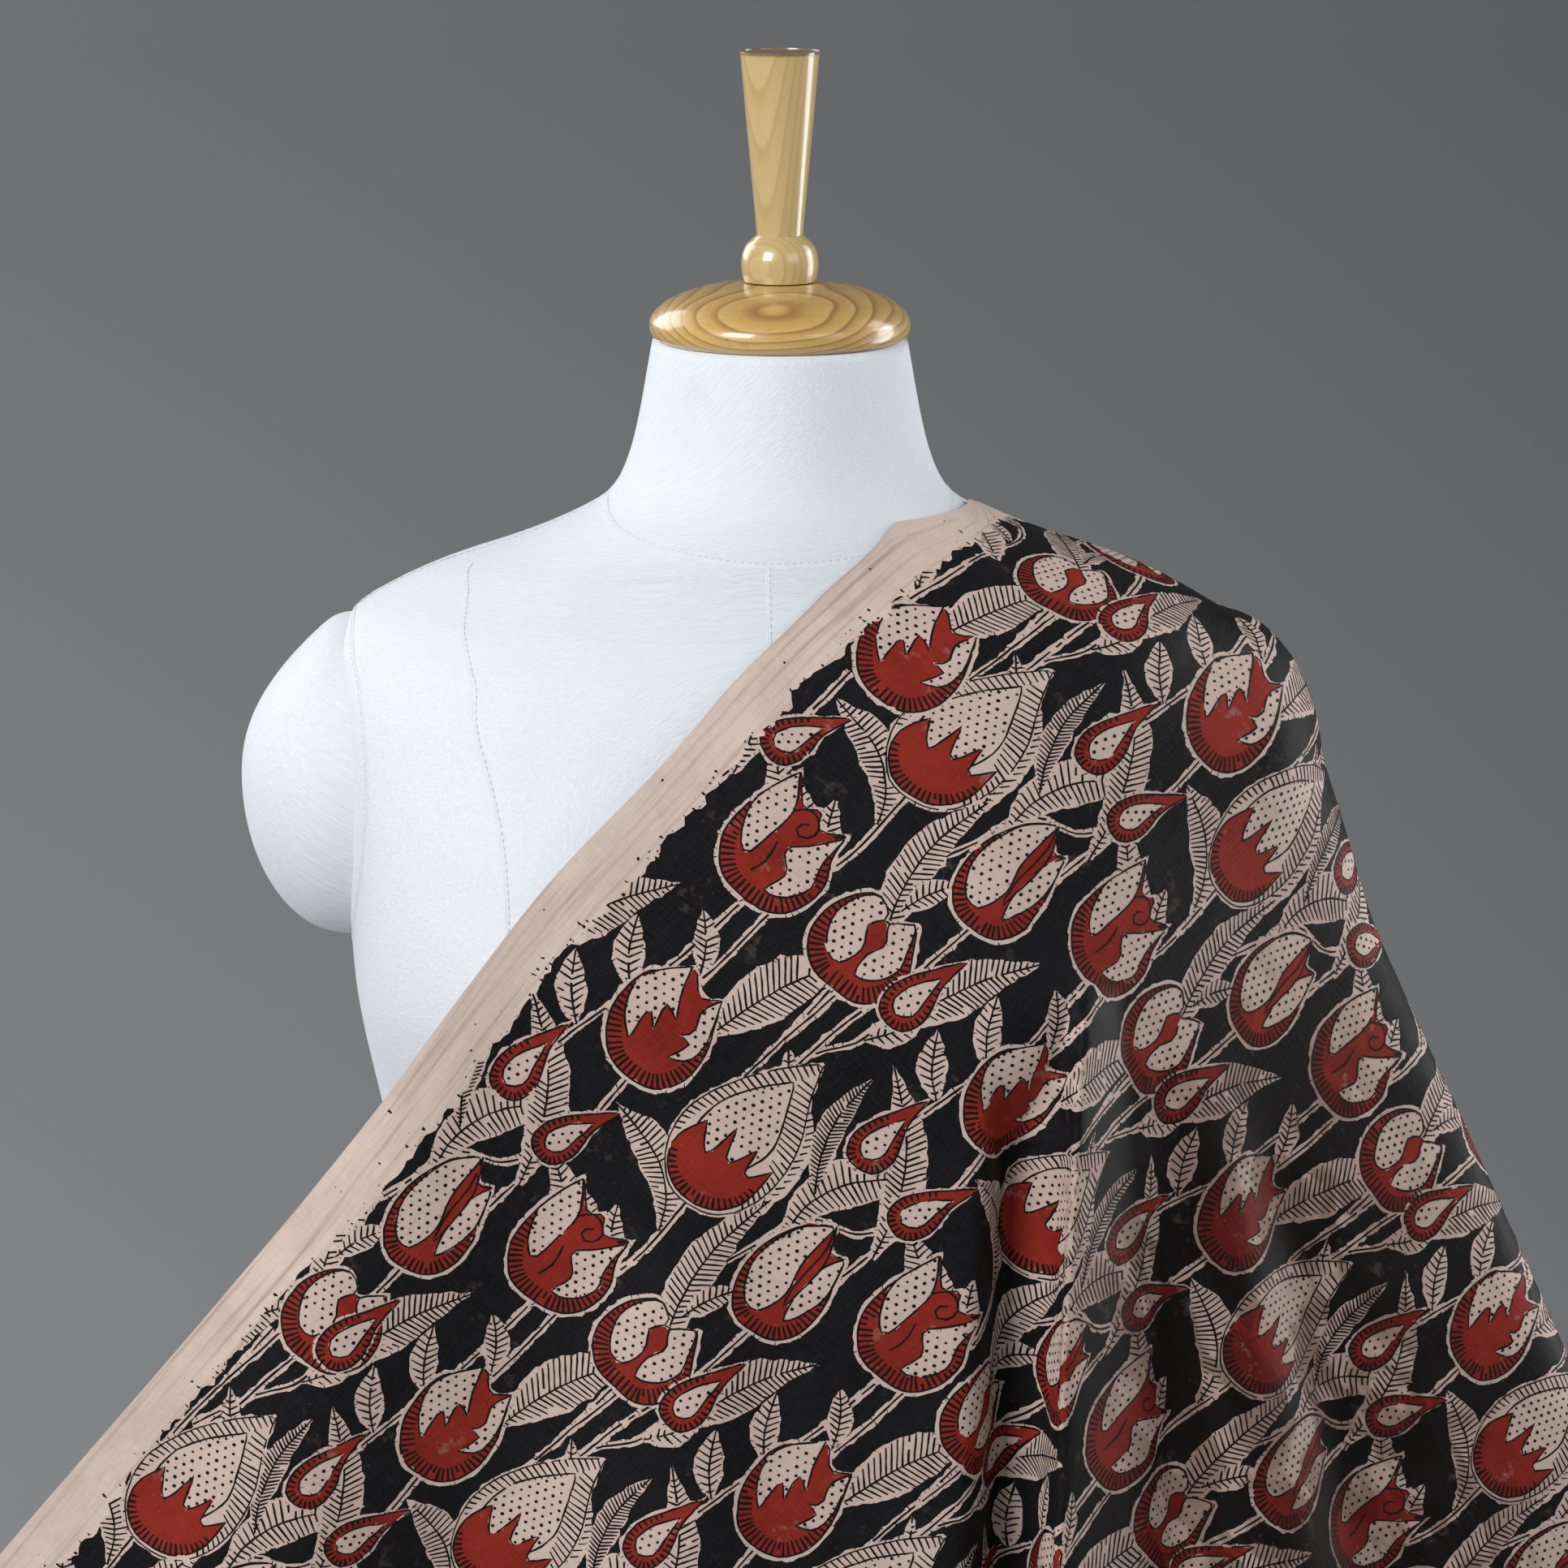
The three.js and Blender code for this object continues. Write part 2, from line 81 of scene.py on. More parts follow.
class Nodes:
    """Shader nodes put together in steps, each step giving the socket that the next ones take."""

    def __init__(self, owner):
        owner.use_nodes = True
        self.tree = owner.node_tree

    def new(self, kind, out=0, **settings):
        made = self.tree.nodes.new("ShaderNode" + kind)
        for name, value in settings.items():
            if hasattr(made, name):
                setattr(made, name, value)
                continue
            socket = made.inputs[int(name[1:]) if name[1:].isdigit() else name.replace("_", " ")]
            if isinstance(value, bpy.types.NodeSocket):
                self.tree.links.new(value, socket)
            else:
                socket.default_value = value
        return made.outputs[out]

    def place(self):
        return self.new("TexCoord", "Object")

    def part(self, place, axis):
        return self.new("SeparateXYZ", axis, Vector=place)

    def scaled(self, place, scale, turn=0):
        return self.new("Mapping", Vector=place, Scale=scale, Rotation=(0, 0, turn))

    def sum(self, first, second, operation="ADD", clamp=False):
        return self.new("Math", operation=operation, use_clamp=clamp, i0=first, i1=second)

    def times(self, first, second):
        return self.sum(first, second, "MULTIPLY")

    def mix(self, share, first, second, blend="MIX"):
        """Two colours mixed, share being how much of the second one shows."""
        first, second = ((*c, 1) if isinstance(c, tuple) else c for c in (first, second))
        return self.new("MixRGB", blend_type=blend, Fac=share, Color1=first, Color2=second)

    def noise(self, place, scale, detail=3.0, roughness=0.5, distortion=0.0):
        return self.new("TexNoise", "Fac", Vector=place, Scale=scale, Detail=detail, Roughness=roughness,
                        Distortion=distortion)

    def between(self, value, low, high):
        """0 where a value is under low, 1 where it is over high, and even in between."""
        return self.new("MapRange", Value=value, clamp=True, From_Min=low, From_Max=high)


class Finish(Nodes):
    """A material, made from its main shader's plain settings and then from sockets."""

    def __init__(self, name, roughness, **settings):
        self.material = bpy.data.materials.new(name)
        super().__init__(self.material)
        self.shader = self.tree.nodes["Principled BSDF"]
        for socket, value in dict(settings, Roughness=roughness).items():
            self.shader.inputs[socket.replace("_", " ")].default_value = value

    def link(self, **sockets):
        for name, value in sockets.items():
            self.tree.links.new(value, self.shader.inputs[name.replace("_", " ")])

    def show(self, height, depth, **sockets):
        """Links sockets to the shader, with relief of a real depth in metres from a height of 0 to 1."""
        self.link(Normal=self.new("Bump", Height=height, Distance=depth, Strength=1.0), **sockets)


WALL_LIT, WALL_SHADED = (0.240, 0.245, 0.249), (0.150, 0.153, 0.156)  # its left and its right
WALL_DIM = (0.68, 0.68, 0.68)  # how much of that is left high up
world = bpy.data.worlds.new("wall")
wall = Nodes(world)
way = wall.new("TexCoord", "Generated")
grey = wall.mix(wall.between(wall.part(way, "X"), -0.19, 0.19), WALL_LIT, WALL_SHADED)
dimmer = wall.mix(wall.between(wall.part(way, "Z"), -0.34, -0.08), (1, 1, 1), WALL_DIM)
wall.tree.links.new(wall.mix(1.0, grey, dimmer, "MULTIPLY"), wall.tree.nodes["Background"].inputs["Color"])
bpy.context.scene.world = world
bpy.context.scene.view_settings.view_transform = "Standard"

TABLE_RADIUS, TABLE_THICK = 0.8, 0.024
TABLE_CENTRE = -0.3  # it reaches further in front of the form than behind it

top = Finish("pale_table", 0.5)
speckle = top.between(top.noise(top.place(), 140, 2), 0.3, 0.7)
pale = top.mix(top.noise(top.place(), 3.0, 4), (0.60, 0.60, 0.59), (0.68, 0.68, 0.67))
grains = top.new("CombineColor", Red=speckle, Green=speckle, Blue=speckle)
top.show(speckle, 0.00004, Base_Color=top.mix(0.12, pale, grains))
bpy.ops.mesh.primitive_cylinder_add(vertices=160, radius=TABLE_RADIUS, depth=TABLE_THICK,
                                    location=(0, TABLE_CENTRE, -TABLE_THICK / 2))
table = bpy.context.object
table.name = "table"
table.data.materials.append(top.material)

# ------------------------------------------------------------------ the form's body
# A hollow shell of laminated paper shaped as a woman's trunk, cut off level at the hip, with a sleeve of
# white cotton canvas drawn over it.

# Level sections: half the width, the depths before and behind the shoulder plane, and how square the
# outline is, 2 being an ellipse.
SECTION = ("z", "half", "front", "back", "square")
FORM = np.array([
    (0, 172, 112, 124, 2.2), (80, 177, 116, 129, 2.2), (150, 168, 112, 119, 2.2), (220, 152, 104, 101, 2.2),
    (285, 145, 99, 91, 2.2), (340, 150, 103, 90, 2.25), (420, 167, 118, 97, 2.4), (485, 178, 130, 107, 2.7),
    (540, 181, 123, 110, 2.8), (590, 184, 107, 106, 2.8), (618, 184, 97, 100, 2.5), (633, 177, 90, 95, 2.2),
    (643, 162, 85, 90, 2), (653, 140, 80, 85, 1.9), (662, 112, 76, 80, 1.9), (672, 87, 72, 75, 2),
    (681, 72, 67, 69, 2), (690, 65.5, 62, 64, 2), (706, 60, 57, 59, 2), (745, 52.5, 52, 53, 2),
])
BUST_ACROSS, BUST_Z, BUST_RISE, BUST_WIDE, BUST_TALL = 84, 482, 21, 50, 54
SIDE_CROWDING = 0.65  # draws the points of a ring towards the form's sides
BODY_SIDES, BODY_LEVELS = 220, 210


def at(rows, headings, name, z):
    """The smooth value of one column of a table at heights z."""
    levels, values = rows[:, 0], rows[:, headings.index(name)]
    z = np.clip(z, levels[0], levels[-1])
    i = np.clip(np.searchsorted(levels, z) - 1, 0, len(levels) - 2)
    slope = np.diff(values) / np.diff(levels)
    before, after = slope[:-1], slope[1:]
    both = before + after
    middle = np.where(before * after > 0, 2 * before * after / np.where(both == 0, 1, both), 0)
    tangent = np.concatenate([slope[:1], middle, slope[-1:]])
    span = levels[i + 1] - levels[i]
    t = (z - levels[i]) / span
    return ((2 * t**3 - 3 * t**2 + 1) * values[i] + (t**3 - 2 * t**2 + t) * span * tangent[i]
            + (3 * t**2 - 2 * t**3) * values[i + 1] + (t**3 - t**2) * span * tangent[i + 1])


def form_section(z, y):
    """Half the form's width, its depth on the side of y, and how square it is, at heights z."""
    half, front, back, square = (at(FORM, SECTION, name, z) for name in SECTION[1:])
    return half, np.where(y < 0, front, back), square


def form_reach(z, ux, uy):
    """How far the form reaches from its axis at a height, in the direction of a unit vector."""
    half, depth, square = form_section(z, uy)
    reach = ((np.abs(ux) / half)**square + (np.abs(uy) / depth)**square)**(-1 / square)
    aside = (np.abs(reach * ux) - BUST_ACROSS) / BUST_WIDE
    above = (z - BUST_Z) / BUST_TALL
    return reach - np.where(uy < 0, BUST_RISE * np.exp(-aside**2 - above**2) * uy, 0)


def direction(angle):
    """A unit vector from the axis, such vectors being closer together towards the form's sides."""
    x, y = np.cos(angle), np.sin(angle) * SIDE_CROWDING
    size = np.hypot(x, y)
    return x / size, y / size


def grid_faces(rows, columns, closed=False):
    """The four-cornered faces of a grid of points, seen from outside when columns run to the left."""
    r, c = np.meshgrid(np.arange(rows - 1), np.arange(columns if closed else columns - 1), indexing="ij")
    a, b = (r * columns + c).ravel(), (r * columns + (c + 1) % columns).ravel()
    return np.stack([a, b, b + columns, a + columns], axis=1)


def ring_ends(rows, columns):
    """The faces that close the first and the last ring of a closed grid."""
    return [range(columns - 1, -1, -1), range((rows - 1) * columns, rows * columns)]


def new_piece(name, points, faces, finishes, uv=None, finish_of=None, normals=None):
    """A smooth piece of the object from points in millimetres."""
    mesh = bpy.data.meshes.new(name)
    mesh.from_pydata((np.asarray(points) * MM).tolist(), [], [list(map(int, face)) for face in faces])
    for finish in finishes:
        mesh.materials.append(finish.material)
    mesh.polygons.foreach_set("use_smooth", np.ones(len(mesh.polygons), bool))
    if finish_of is not None:
        mesh.polygons.foreach_set("material_index", np.asarray(finish_of, np.int32))
    if uv is not None:
        corners = np.zeros(len(mesh.loops), np.int32)
        mesh.loops.foreach_get("vertex_index", corners)
        layer = mesh.uv_layers.new(name="cloth")
        layer.data.foreach_set("uv", (np.asarray(uv) * MM)[corners].ravel().astype(np.float32))
    if normals is not None:
        mesh.normals_split_custom_set_from_vertices(np.asarray(normals).tolist())
    piece = bpy.data.objects.new(name, mesh)
    bpy.context.scene.collection.objects.link(piece)
    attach(piece, "root")
    return piece


def weave(finish, thick, long):
    """Uneven threads crossing at right angles on the flat cloth: its place, and a height from 0 to 1."""
    place = finish.new("UVMap", uv_map="cloth")
    warp = finish.scaled(place, (1 / thick, 1 / long, 1))
    weft = finish.scaled(place, (1 / long, 1 / thick, 1))
    both = finish.sum(finish.noise(warp, 1.0, 2), finish.noise(weft, 1.0, 2))
    return place, finish.between(both, 0.8, 1.25)


CANVAS_SHADE, CANVAS_WHITE, CANVAS_SOILED = (0.61, 0.645, 0.70), (0.66, 0.695, 0.75), (0.60, 0.58, 0.54)
STAIN, STAIN_PLACE = (0.50, 0.44, 0.36), (-0.037, -0.045, 0.730)  # small and old, on the front of the neck

canvas = Finish("canvas", 0.9, Specular_IOR_Level=0.2, Sheen_Weight=0.15)
place, threads = weave(canvas, 0.0011, 0.003)
slub = canvas.noise(place, 420, 3)
soiling = canvas.between(canvas.noise(place, 9, 4), 0.35, 0.8)
far = canvas.new("VectorMath", "Value", operation="DISTANCE", i0=canvas.place(), i1=STAIN_PLACE)
stain = canvas.times(canvas.between(far, 0.009, 0.001), canvas.times(slub, 0.5))
white = canvas.mix(stain, canvas.mix(threads, CANVAS_SHADE, CANVAS_WHITE), STAIN)
canvas.show(canvas.sum(canvas.times(threads, 0.7), slub), 0.00013,
            Base_Color=canvas.mix(canvas.times(soiling, 0.10), white, CANVAS_SOILED),
            Roughness=canvas.between(slub, -0.6, 1.0))

levels = FORM[-1, 0] * np.linspace(0, 1, BODY_LEVELS)
z, around = np.meshgrid(levels, np.arange(BODY_SIDES) / BODY_SIDES * 2 * math.pi, indexing="ij")
ux, uy = direction(around)
reach = form_reach(z, ux, uy)
body_points = np.stack([ux * reach, uy * reach, z], axis=2)
girth = np.linalg.norm(np.diff(body_points, axis=1, prepend=body_points[:, :1]), axis=2)
rise = np.linalg.norm(np.diff(body_points, axis=0, prepend=body_points[:1]), axis=2)
body_uv = np.stack([np.cumsum(girth, axis=1), np.cumsum(rise, axis=0)], axis=2)
body = new_piece("body_canvas", body_points.reshape(-1, 3),
                 [*grid_faces(BODY_LEVELS, BODY_SIDES, closed=True), *ring_ends(BODY_LEVELS, BODY_SIDES)],
                 [canvas], uv=body_uv.reshape(-1, 2))
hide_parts("form_body")

# ------------------------------------------------------------------ the arm caps
# A rounded pad of wadding fills each armhole. The same canvas is drawn tight over it and sewn in all round.

ARM_PLANE, ARM_BULGE, ARM_Z, ARM_TALL, ARM_DEEP = 181, 44, 563, 68, 57
ARM_ROOT = 1.5  # how far its edge is tucked under the body's canvas
ARM_RINGS, ARM_SIDES = 34, 96
ARM_SETTLED = 0.55  # how much less the free pad bulges at its top, where its wadding has settled

for name, cad_node, side, settled in (("arm_pad_left", "arm_cap_left", 1, 0),
                                      ("arm_pad_right", "arm_cap_right", -1, ARM_SETTLED)):
    turn = np.linspace(0, 0.985, ARM_RINGS)[:, None] * math.pi / 2
    around = side * np.arange(ARM_SIDES)[None, :] / ARM_SIDES * 2 * math.pi
    y = ARM_DEEP * np.cos(turn) * np.cos(around)
    z = ARM_Z + ARM_TALL * np.cos(turn) * np.sin(around)
    above = np.clip((z - ARM_Z) / ARM_TALL, 0, 1)
    x = ARM_PLANE + ARM_BULGE * np.sin(turn) * (1 - settled * above**2.5)
    # The edge follows the body's side, and the pad's first rings are stretched back to meet it.
    half, depth, square = form_section(z[0], y[0])
    seat = half * (1 - (np.abs(y[0]) / depth)**square)**(1 / square) - ARM_ROOT
    x = x + (np.minimum(seat, ARM_PLANE) - ARM_PLANE) * np.clip(1 - turn / 0.35, 0, 1)**2
    points = np.stack([side * x, y, z], axis=2).reshape(-1, 3)
    pad = new_piece(name, points, [*grid_faces(ARM_RINGS, ARM_SIDES, closed=True),
                                   ring_ends(ARM_RINGS, ARM_SIDES)[1]],
                    [canvas], uv=points[:, [1, 2]] + (0, 0.6) * points[:, [0]])
    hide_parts(cad_node)

# ------------------------------------------------------------------ the canvas's seams
# The panels' edges are turned in and pressed open, so each seam is a fine valley between two low ridges,
# with the machine's stitches along it. They run down the middle, over the bust, down the sides, along the
# shoulders, round both armholes and round the foot of the neck.

SEAM_PROFILE = ((-1.0, 0.02), (-0.5, 0.12), (-0.15, 0.11), (0, 0.03), (0.15, 0.11), (0.5, 0.12), (1.0, 0.02))
STITCH_PITCH, STITCH_LONG, STITCH_WIDE, STITCH_HIGH = 3.0, 1.7, 0.38, 0.22
STITCH_ASIDE = 0.9  # from the middle of the seam
STITCH_PROFILE = ((-0.5, 0), (-0.2, 1), (0.2, 1), (0.5, 0))  # shares of its length and height

# Routes over the form; only a point's height and its bearing from the axis count.
MIDDLE_SEAMS = [
    [(-4, -60, 666), (-4, -100, 600), (-4, -120, 482), (-4, -110, 300), (-4, -110, 0)],
    [(0, 60, 676), (0, 100, 600), (0, 100, 300), (0, 120, 0)],
]
# Over the bust, down the back, down the side and along the shoulder, each once on the left and once on
# the right.
PAIRED_SEAMS = [
    [(127, -20, 656), (128, -49, 645), (125, -80, 620), (122, -90, 600), (112, -116, 545), (107, -128, 482),
     (92, -100, 400), (80, -90, 300), (92, -104, 150), (98, -106, 0)],
    [(123, 25, 663), (112, 85, 600), (96, 100, 500), (78, 84, 300), (96, 116, 80), (94, 112, 0)],
    [(178, 2, 494), (165, 2, 420), (145, 2, 285), (177, 2, 80), (172, 2, 0)],
    [(70, 2, 683), (100, 2, 667), (140, 2, 653), (177, 2, 633)],
]


def curve(a, b, c, d, t):
    """Points of the smooth curve from b to c that comes from a and goes on to d."""
    return 0.5 * (2 * b + (c - a) * t + (2 * a - 5 * b + 4 * c - d) * t**2 + (3 * b - a - 3 * c + d) * t**3)


def run_of(line):
    """How far along a line each of its points lies."""
    return np.concatenate([[0], np.cumsum(reduce(np.hypot, np.diff(line, axis=0).T))])


def on_line(line, run, stops):
    """The points of a line at some stops, run being how far along it its own points lie."""
    return np.stack([np.interp(stops, run, values) for values in line.T], axis=1)


def evenly(line, step, closed=False):
    """Points evenly apart along a line."""
    line = np.vstack([line, line[:1]]) if closed else line
    run = run_of(line)
    stops = np.linspace(0, run[-1], max(2, round(run[-1] / step)) + 1)
    return on_line(line, run, stops[:-1] if closed else stops)


def at_bearing(bearing, z):
    """The point of the form's surface on a bearing from its axis."""
    ux, uy = np.cos(bearing), np.sin(bearing)
    reach = form_reach(z, ux, uy)
    return np.stack([ux * reach, uy * reach, z], axis=1)


seam_points, seam_faces, seam_finish = [], [], []


def sew(route, closed=False):
    """One seam and its stitches, on the form's surface under a route."""
    x, y, z = route.T
    bearing = np.arctan2(y, x)
    line = at_bearing(bearing, z)
    normal = np.cross(at_bearing(bearing + 0.004, z) - at_bearing(bearing - 0.004, z),
                      at_bearing(bearing, z + 0.6) - at_bearing(bearing, z - 0.6))
    normal /= np.linalg.norm(normal, axis=1)[:, None]
    ahead = np.gradient(line, axis=0)
    if closed:
        ahead[0] = ahead[-1] = line[1] - line[-2]
    aside = np.cross(normal, ahead)
    aside /= np.linalg.norm(aside, axis=1)[:, None]
    seam_faces.extend(grid_faces(len(SEAM_PROFILE), len(line)) + len(seam_points))
    for across, high in SEAM_PROFILE:
        seam_points.extend(line + aside * across + normal * high)
    stitches = evenly(line, STITCH_PITCH)[1:-1]
    nearest = np.linspace(0, len(line) - 1, len(stitches) + 2)[1:-1].round().astype(int)
    seam_finish.extend([0] * (len(seam_faces) - len(seam_finish)))
    for centre, side, out in zip(stitches, aside[nearest], normal[nearest]):
        seam_faces.extend(np.array([0, 1, 3, 2]) + len(seam_points) + 2 * k for k in range(3))
        seam_points.extend(centre + np.cross(side, out) * along * STITCH_LONG + out * high * STITCH_HIGH
                           + side * (STITCH_ASIDE + half * STITCH_WIDE)
                           for along, high in STITCH_PROFILE for half in (-0.5, 0.5))
    seam_finish.extend([1] * (len(seam_faces) - len(seam_finish)))


for route in MIDDLE_SEAMS + [np.multiply(route, (side, 1, 1)) for route in PAIRED_SEAMS for side in (1, -1)]:
    p = np.array(route, float)
    p = np.vstack([2 * p[0] - p[1], p, 2 * p[-1] - p[-2]])
    t = np.linspace(0, 1, 24, endpoint=False)[:, None]
    sew(evenly(np.vstack([curve(*p[i:i + 4], t) for i in range(len(p) - 3)] + [p[-2:-1]]), 3.0))
turn = np.linspace(0, 2 * math.pi, 150)
foot = 674.5 - 10.5 * np.maximum(0, -np.sin(turn)) + 8 * np.cos(turn)**2
sew(np.stack([80 * np.cos(turn), 78 * np.sin(turn), foot], axis=1), closed=True)
for side in (1, -1):
    turn = np.linspace(0, 2 * math.pi, 130) * side
    sew(np.stack([side * 150 + 0 * turn, (ARM_DEEP + 2.5) * np.cos(turn),
                  ARM_Z + (ARM_TALL + 2.5) * np.sin(turn)], axis=1), closed=True)

# The seams' cloth is painted greyer than the canvas round it, and darkest where its puckers sink: painted
# shade in the seams' valleys and puckers.
seam_canvas = Finish("seam_canvas", 0.9, Specular_IOR_Level=0.2)
puckers_and_seam_shade = seam_canvas.noise(seam_canvas.place(), 260, 3)
seam_canvas.show(puckers_and_seam_shade, 0.0003, Base_Color=seam_canvas.mix(puckers_and_seam_shade, (0.55, 0.585, 0.64), CANVAS_WHITE))
# The white thread is painted grey, darker than the canvas: painted shade of the holes the stitches sink
# into.
thread = Finish("white_thread", 0.7, Specular_IOR_Level=0.3)
ply = thread.noise(thread.place(), 1500, 2)
thread.show(ply, 0.0001, Base_Color=thread.mix(ply, (0.42, 0.445, 0.48), (0.58, 0.61, 0.66)))
seams = new_piece("canvas_seams", seam_points, seam_faces, [seam_canvas, thread], finish_of=seam_finish)

# ------------------------------------------------------------------ the neck cap
# A domed disc turned from one board of honey-coloured wood, its grain lying level, sanded, stained and
# varnished. It closes the neck and is screwed down from inside.

LATHE_SIDES = 144
CAP_PROFILE = [
    (0, 745.3), (49.5, 745.3), (49.5, 745.3), (52.6, 747.4), (53.7, 751), (52.6, 755.4), (47.5, 760.4),
    (39, 764.4), (28.5, 767.2), (17, 769), (17, 769), (0, 769),
]


def turned_wood(name, cad_node, profile, finish):
    """A piece turned on a lathe; a point given twice in its profile is a sharp edge."""
    p = np.array(profile, float)
    t = np.linspace(0, 1, 9)[1:, None]
    rim = np.vstack([curve(*p[i - 1:i + 3], t) for i in range(1, len(p) - 2)
                     if not np.allclose(p[i], p[i + 1])])
    turn = np.arange(LATHE_SIDES) / LATHE_SIDES * 2 * math.pi
    rings = np.stack([rim[:, :1] * np.cos(turn), rim[:, :1] * np.sin(turn), rim[:, 1:] + 0 * turn], axis=2)
    made = new_piece(name, rings.reshape(-1, 3), [*grid_faces(len(rim), LATHE_SIDES, closed=True),
                                                  *ring_ends(len(rim), LATHE_SIDES)], [finish])
    edges = made.modifiers.new("edges", "EDGE_SPLIT")
    edges.split_angle = math.radians(38)
    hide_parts(cad_node)


def wood(name, pith, along, ring, light, mid, dark, gloss, warp):
    """Varnished wood. pith is a point on the heart of the tree it was sawn from, along the way the grain
    runs, and ring the distance between two years' rings, all in metres."""
    made = Finish(name, gloss, Coat_Weight=0.7, Coat_Roughness=0.11, Specular_IOR_Level=0.5)
    place = made.place()
    # Noise is stretched along the grain, so that it makes streaks.
    drawn, bowed = (made.scaled(place, [share if a else 1.0 for a in along]) for share in (0.12, 0.45))
    bend = made.new("TexNoise", "Color", Vector=bowed, Scale=14.0, Detail=1.5)
    shift = made.new("VectorMath", operation="SCALE", i0=bend, Scale=warp)
    bent = made.new("VectorMath", operation="ADD", i0=place, i1=shift)
    away = made.new("VectorMath", operation="SUBTRACT", i0=bent, i1=pith)
    flat = made.new("VectorMath", operation="MULTIPLY", i0=away, i1=[0.14 if a else 1.0 for a in along])
    far = made.new("VectorMath", "Value", operation="LENGTH", i0=flat)
    year = made.new("ValToRGB", Fac=made.sum(made.sum(far, ring, "DIVIDE"), 0.0, "FRACT"))
    ramp = year.node.color_ramp
    for stop in ramp.elements:
        stop.color = (*light, 1)
    for share, colour in ((0.6, mid), (0.88, dark), (0.95, mid)):
        ramp.elements.new(share).color = (*colour, 1)
    fibres = made.noise(drawn, 520, 4, 0.6)
    tone = made.mix(made.times(fibres, 0.5), year, tuple(0.72 * v for v in mid))
    tone = made.mix(made.between(made.noise(drawn, 26, 3), 0.35, 0.7), tone, made.mix(0.35, tone, light))
    pores = made.between(made.noise(drawn, 900, 2), 0.62, 0.72)
    made.colour = made.mix(made.times(pores, 0.4), tone, dark)
    made.show(fibres, 0.00003, Base_Color=made.colour,
              Roughness=made.sum(made.times(fibres, 0.2), gloss - 0.1))
    return made


honey = wood("honey_wood", (-0.002, 0.019, 0.694), (1, 0, 0), 0.0034, (0.60, 0.405, 0.14),
             (0.49, 0.295, 0.085), (0.23, 0.095, 0.022), 0.36, 0.036)
turned_wood("neck_cap_wood", "neck_cap", CAP_PROFILE, honey)

# ------------------------------------------------------------------ the finial
# The handle on the cap, by which the form is lifted: a ball and a taper that widens upwards, turned in one
# from pale straight-grained wood, with dark end grain on its flat top.

FINIAL_PROFILE = [
    (0, 769.3), (14.8, 769.3), (14.8, 769.3), (15.6, 772.6), (15.9, 776.6), (15.4, 780.8), (13.7, 784.6),
    (11, 787.2), (9.6, 788.4), (9.6, 788.4), (9.8, 792), (13, 826.6), (16.0, 860.2), (16.2, 861.6),
    (15.4, 862.8), (15.4, 862.8), (0, 862.8),
]
FINIAL_TOP = 0.8624

straw = wood("pale_wood", (0.035, 0.05, 0.80), (0, 0, 1), 0.0023, (0.55, 0.41, 0.195), (0.51, 0.365, 0.155),
             (0.44, 0.29, 0.11), 0.3, 0.004)
end_grain = straw.mix(straw.noise(straw.place(), 700, 3), (0.15, 0.085, 0.035), (0.27, 0.16, 0.065))
on_top = straw.between(straw.part(straw.place(), "Z"), FINIAL_TOP - 0.0007, FINIAL_TOP)
straw.link(Base_Color=straw.mix(on_top, straw.colour, end_grain))
turned_wood("finial_wood", "finial", FINIAL_PROFILE, straw)

# ------------------------------------------------------------------ the silk: how it hangs
# A length of fine plain-woven silk laid over the form's left shoulder. Its selvage runs round the foot of
# the neck, slantwise down across the chest and down the back, and it falls in folds from the bust and from
# the shoulder to the table, where its cut edge turns out.

CLEAR, EDGE_CLEAR = 2.0, 0.7  # from the form to the silk, and how much further out its edges stand
TOP_EDGE = 679
LOWERED_FROM, LOWERED_SLOPE, LOWERED_MOST = 640, 0.32, 7  # the top edge behind the shoulder
RUN_OUT = 34  # how far the cut edge lies out on the table
SMOOTHED_ACROSS, SMOOTHED_DOWN = 16, 3  # how often the corners of the taut outlines are rounded off

# Where the silk is led at each level: its front edge, the pleat beside the bust, the fold at its side with
# the radius that it turns through, and its back edge.
LED = ("z", "edge_x", "edge_y", "pleat_x", "side_x", "side_y", "turn", "back_x", "back_y")
DRAPE = np.array([
    (0, -541, -160, 124, 484, 0, 30, -18, 139), (150, -417, -155, 121, 417, -4, 22, -4, 134),
    (274, -314, -152, 119, 360, -7, 16, 8, 122), (404, -204, -151, 118, 299, -10, 15, 19, 117),
    (465, -156, -151, 118, 269, -10, 18, 24, 115), (505, -127, -151, 118, 250, -8, 24, 27, 114),
    (553, -88, -142, 118, 234, -4, 40, 31, 113), (596, -43, -120, 114, 217, 0, 30, 35, 106),
    (624, -17, -104, 106, 190, 0, 20, 38, 96), (650, 13, -86, 88, 146, 0, 10, 41, 84),
    (663, 28, -74, 76, 106, 0, 5, 43, 74), (671, 38, -66, 68, 86, 0, 3, 44, 66),
    (679, 45, -56, 62, 72, 0, 2, 52, 50),
])

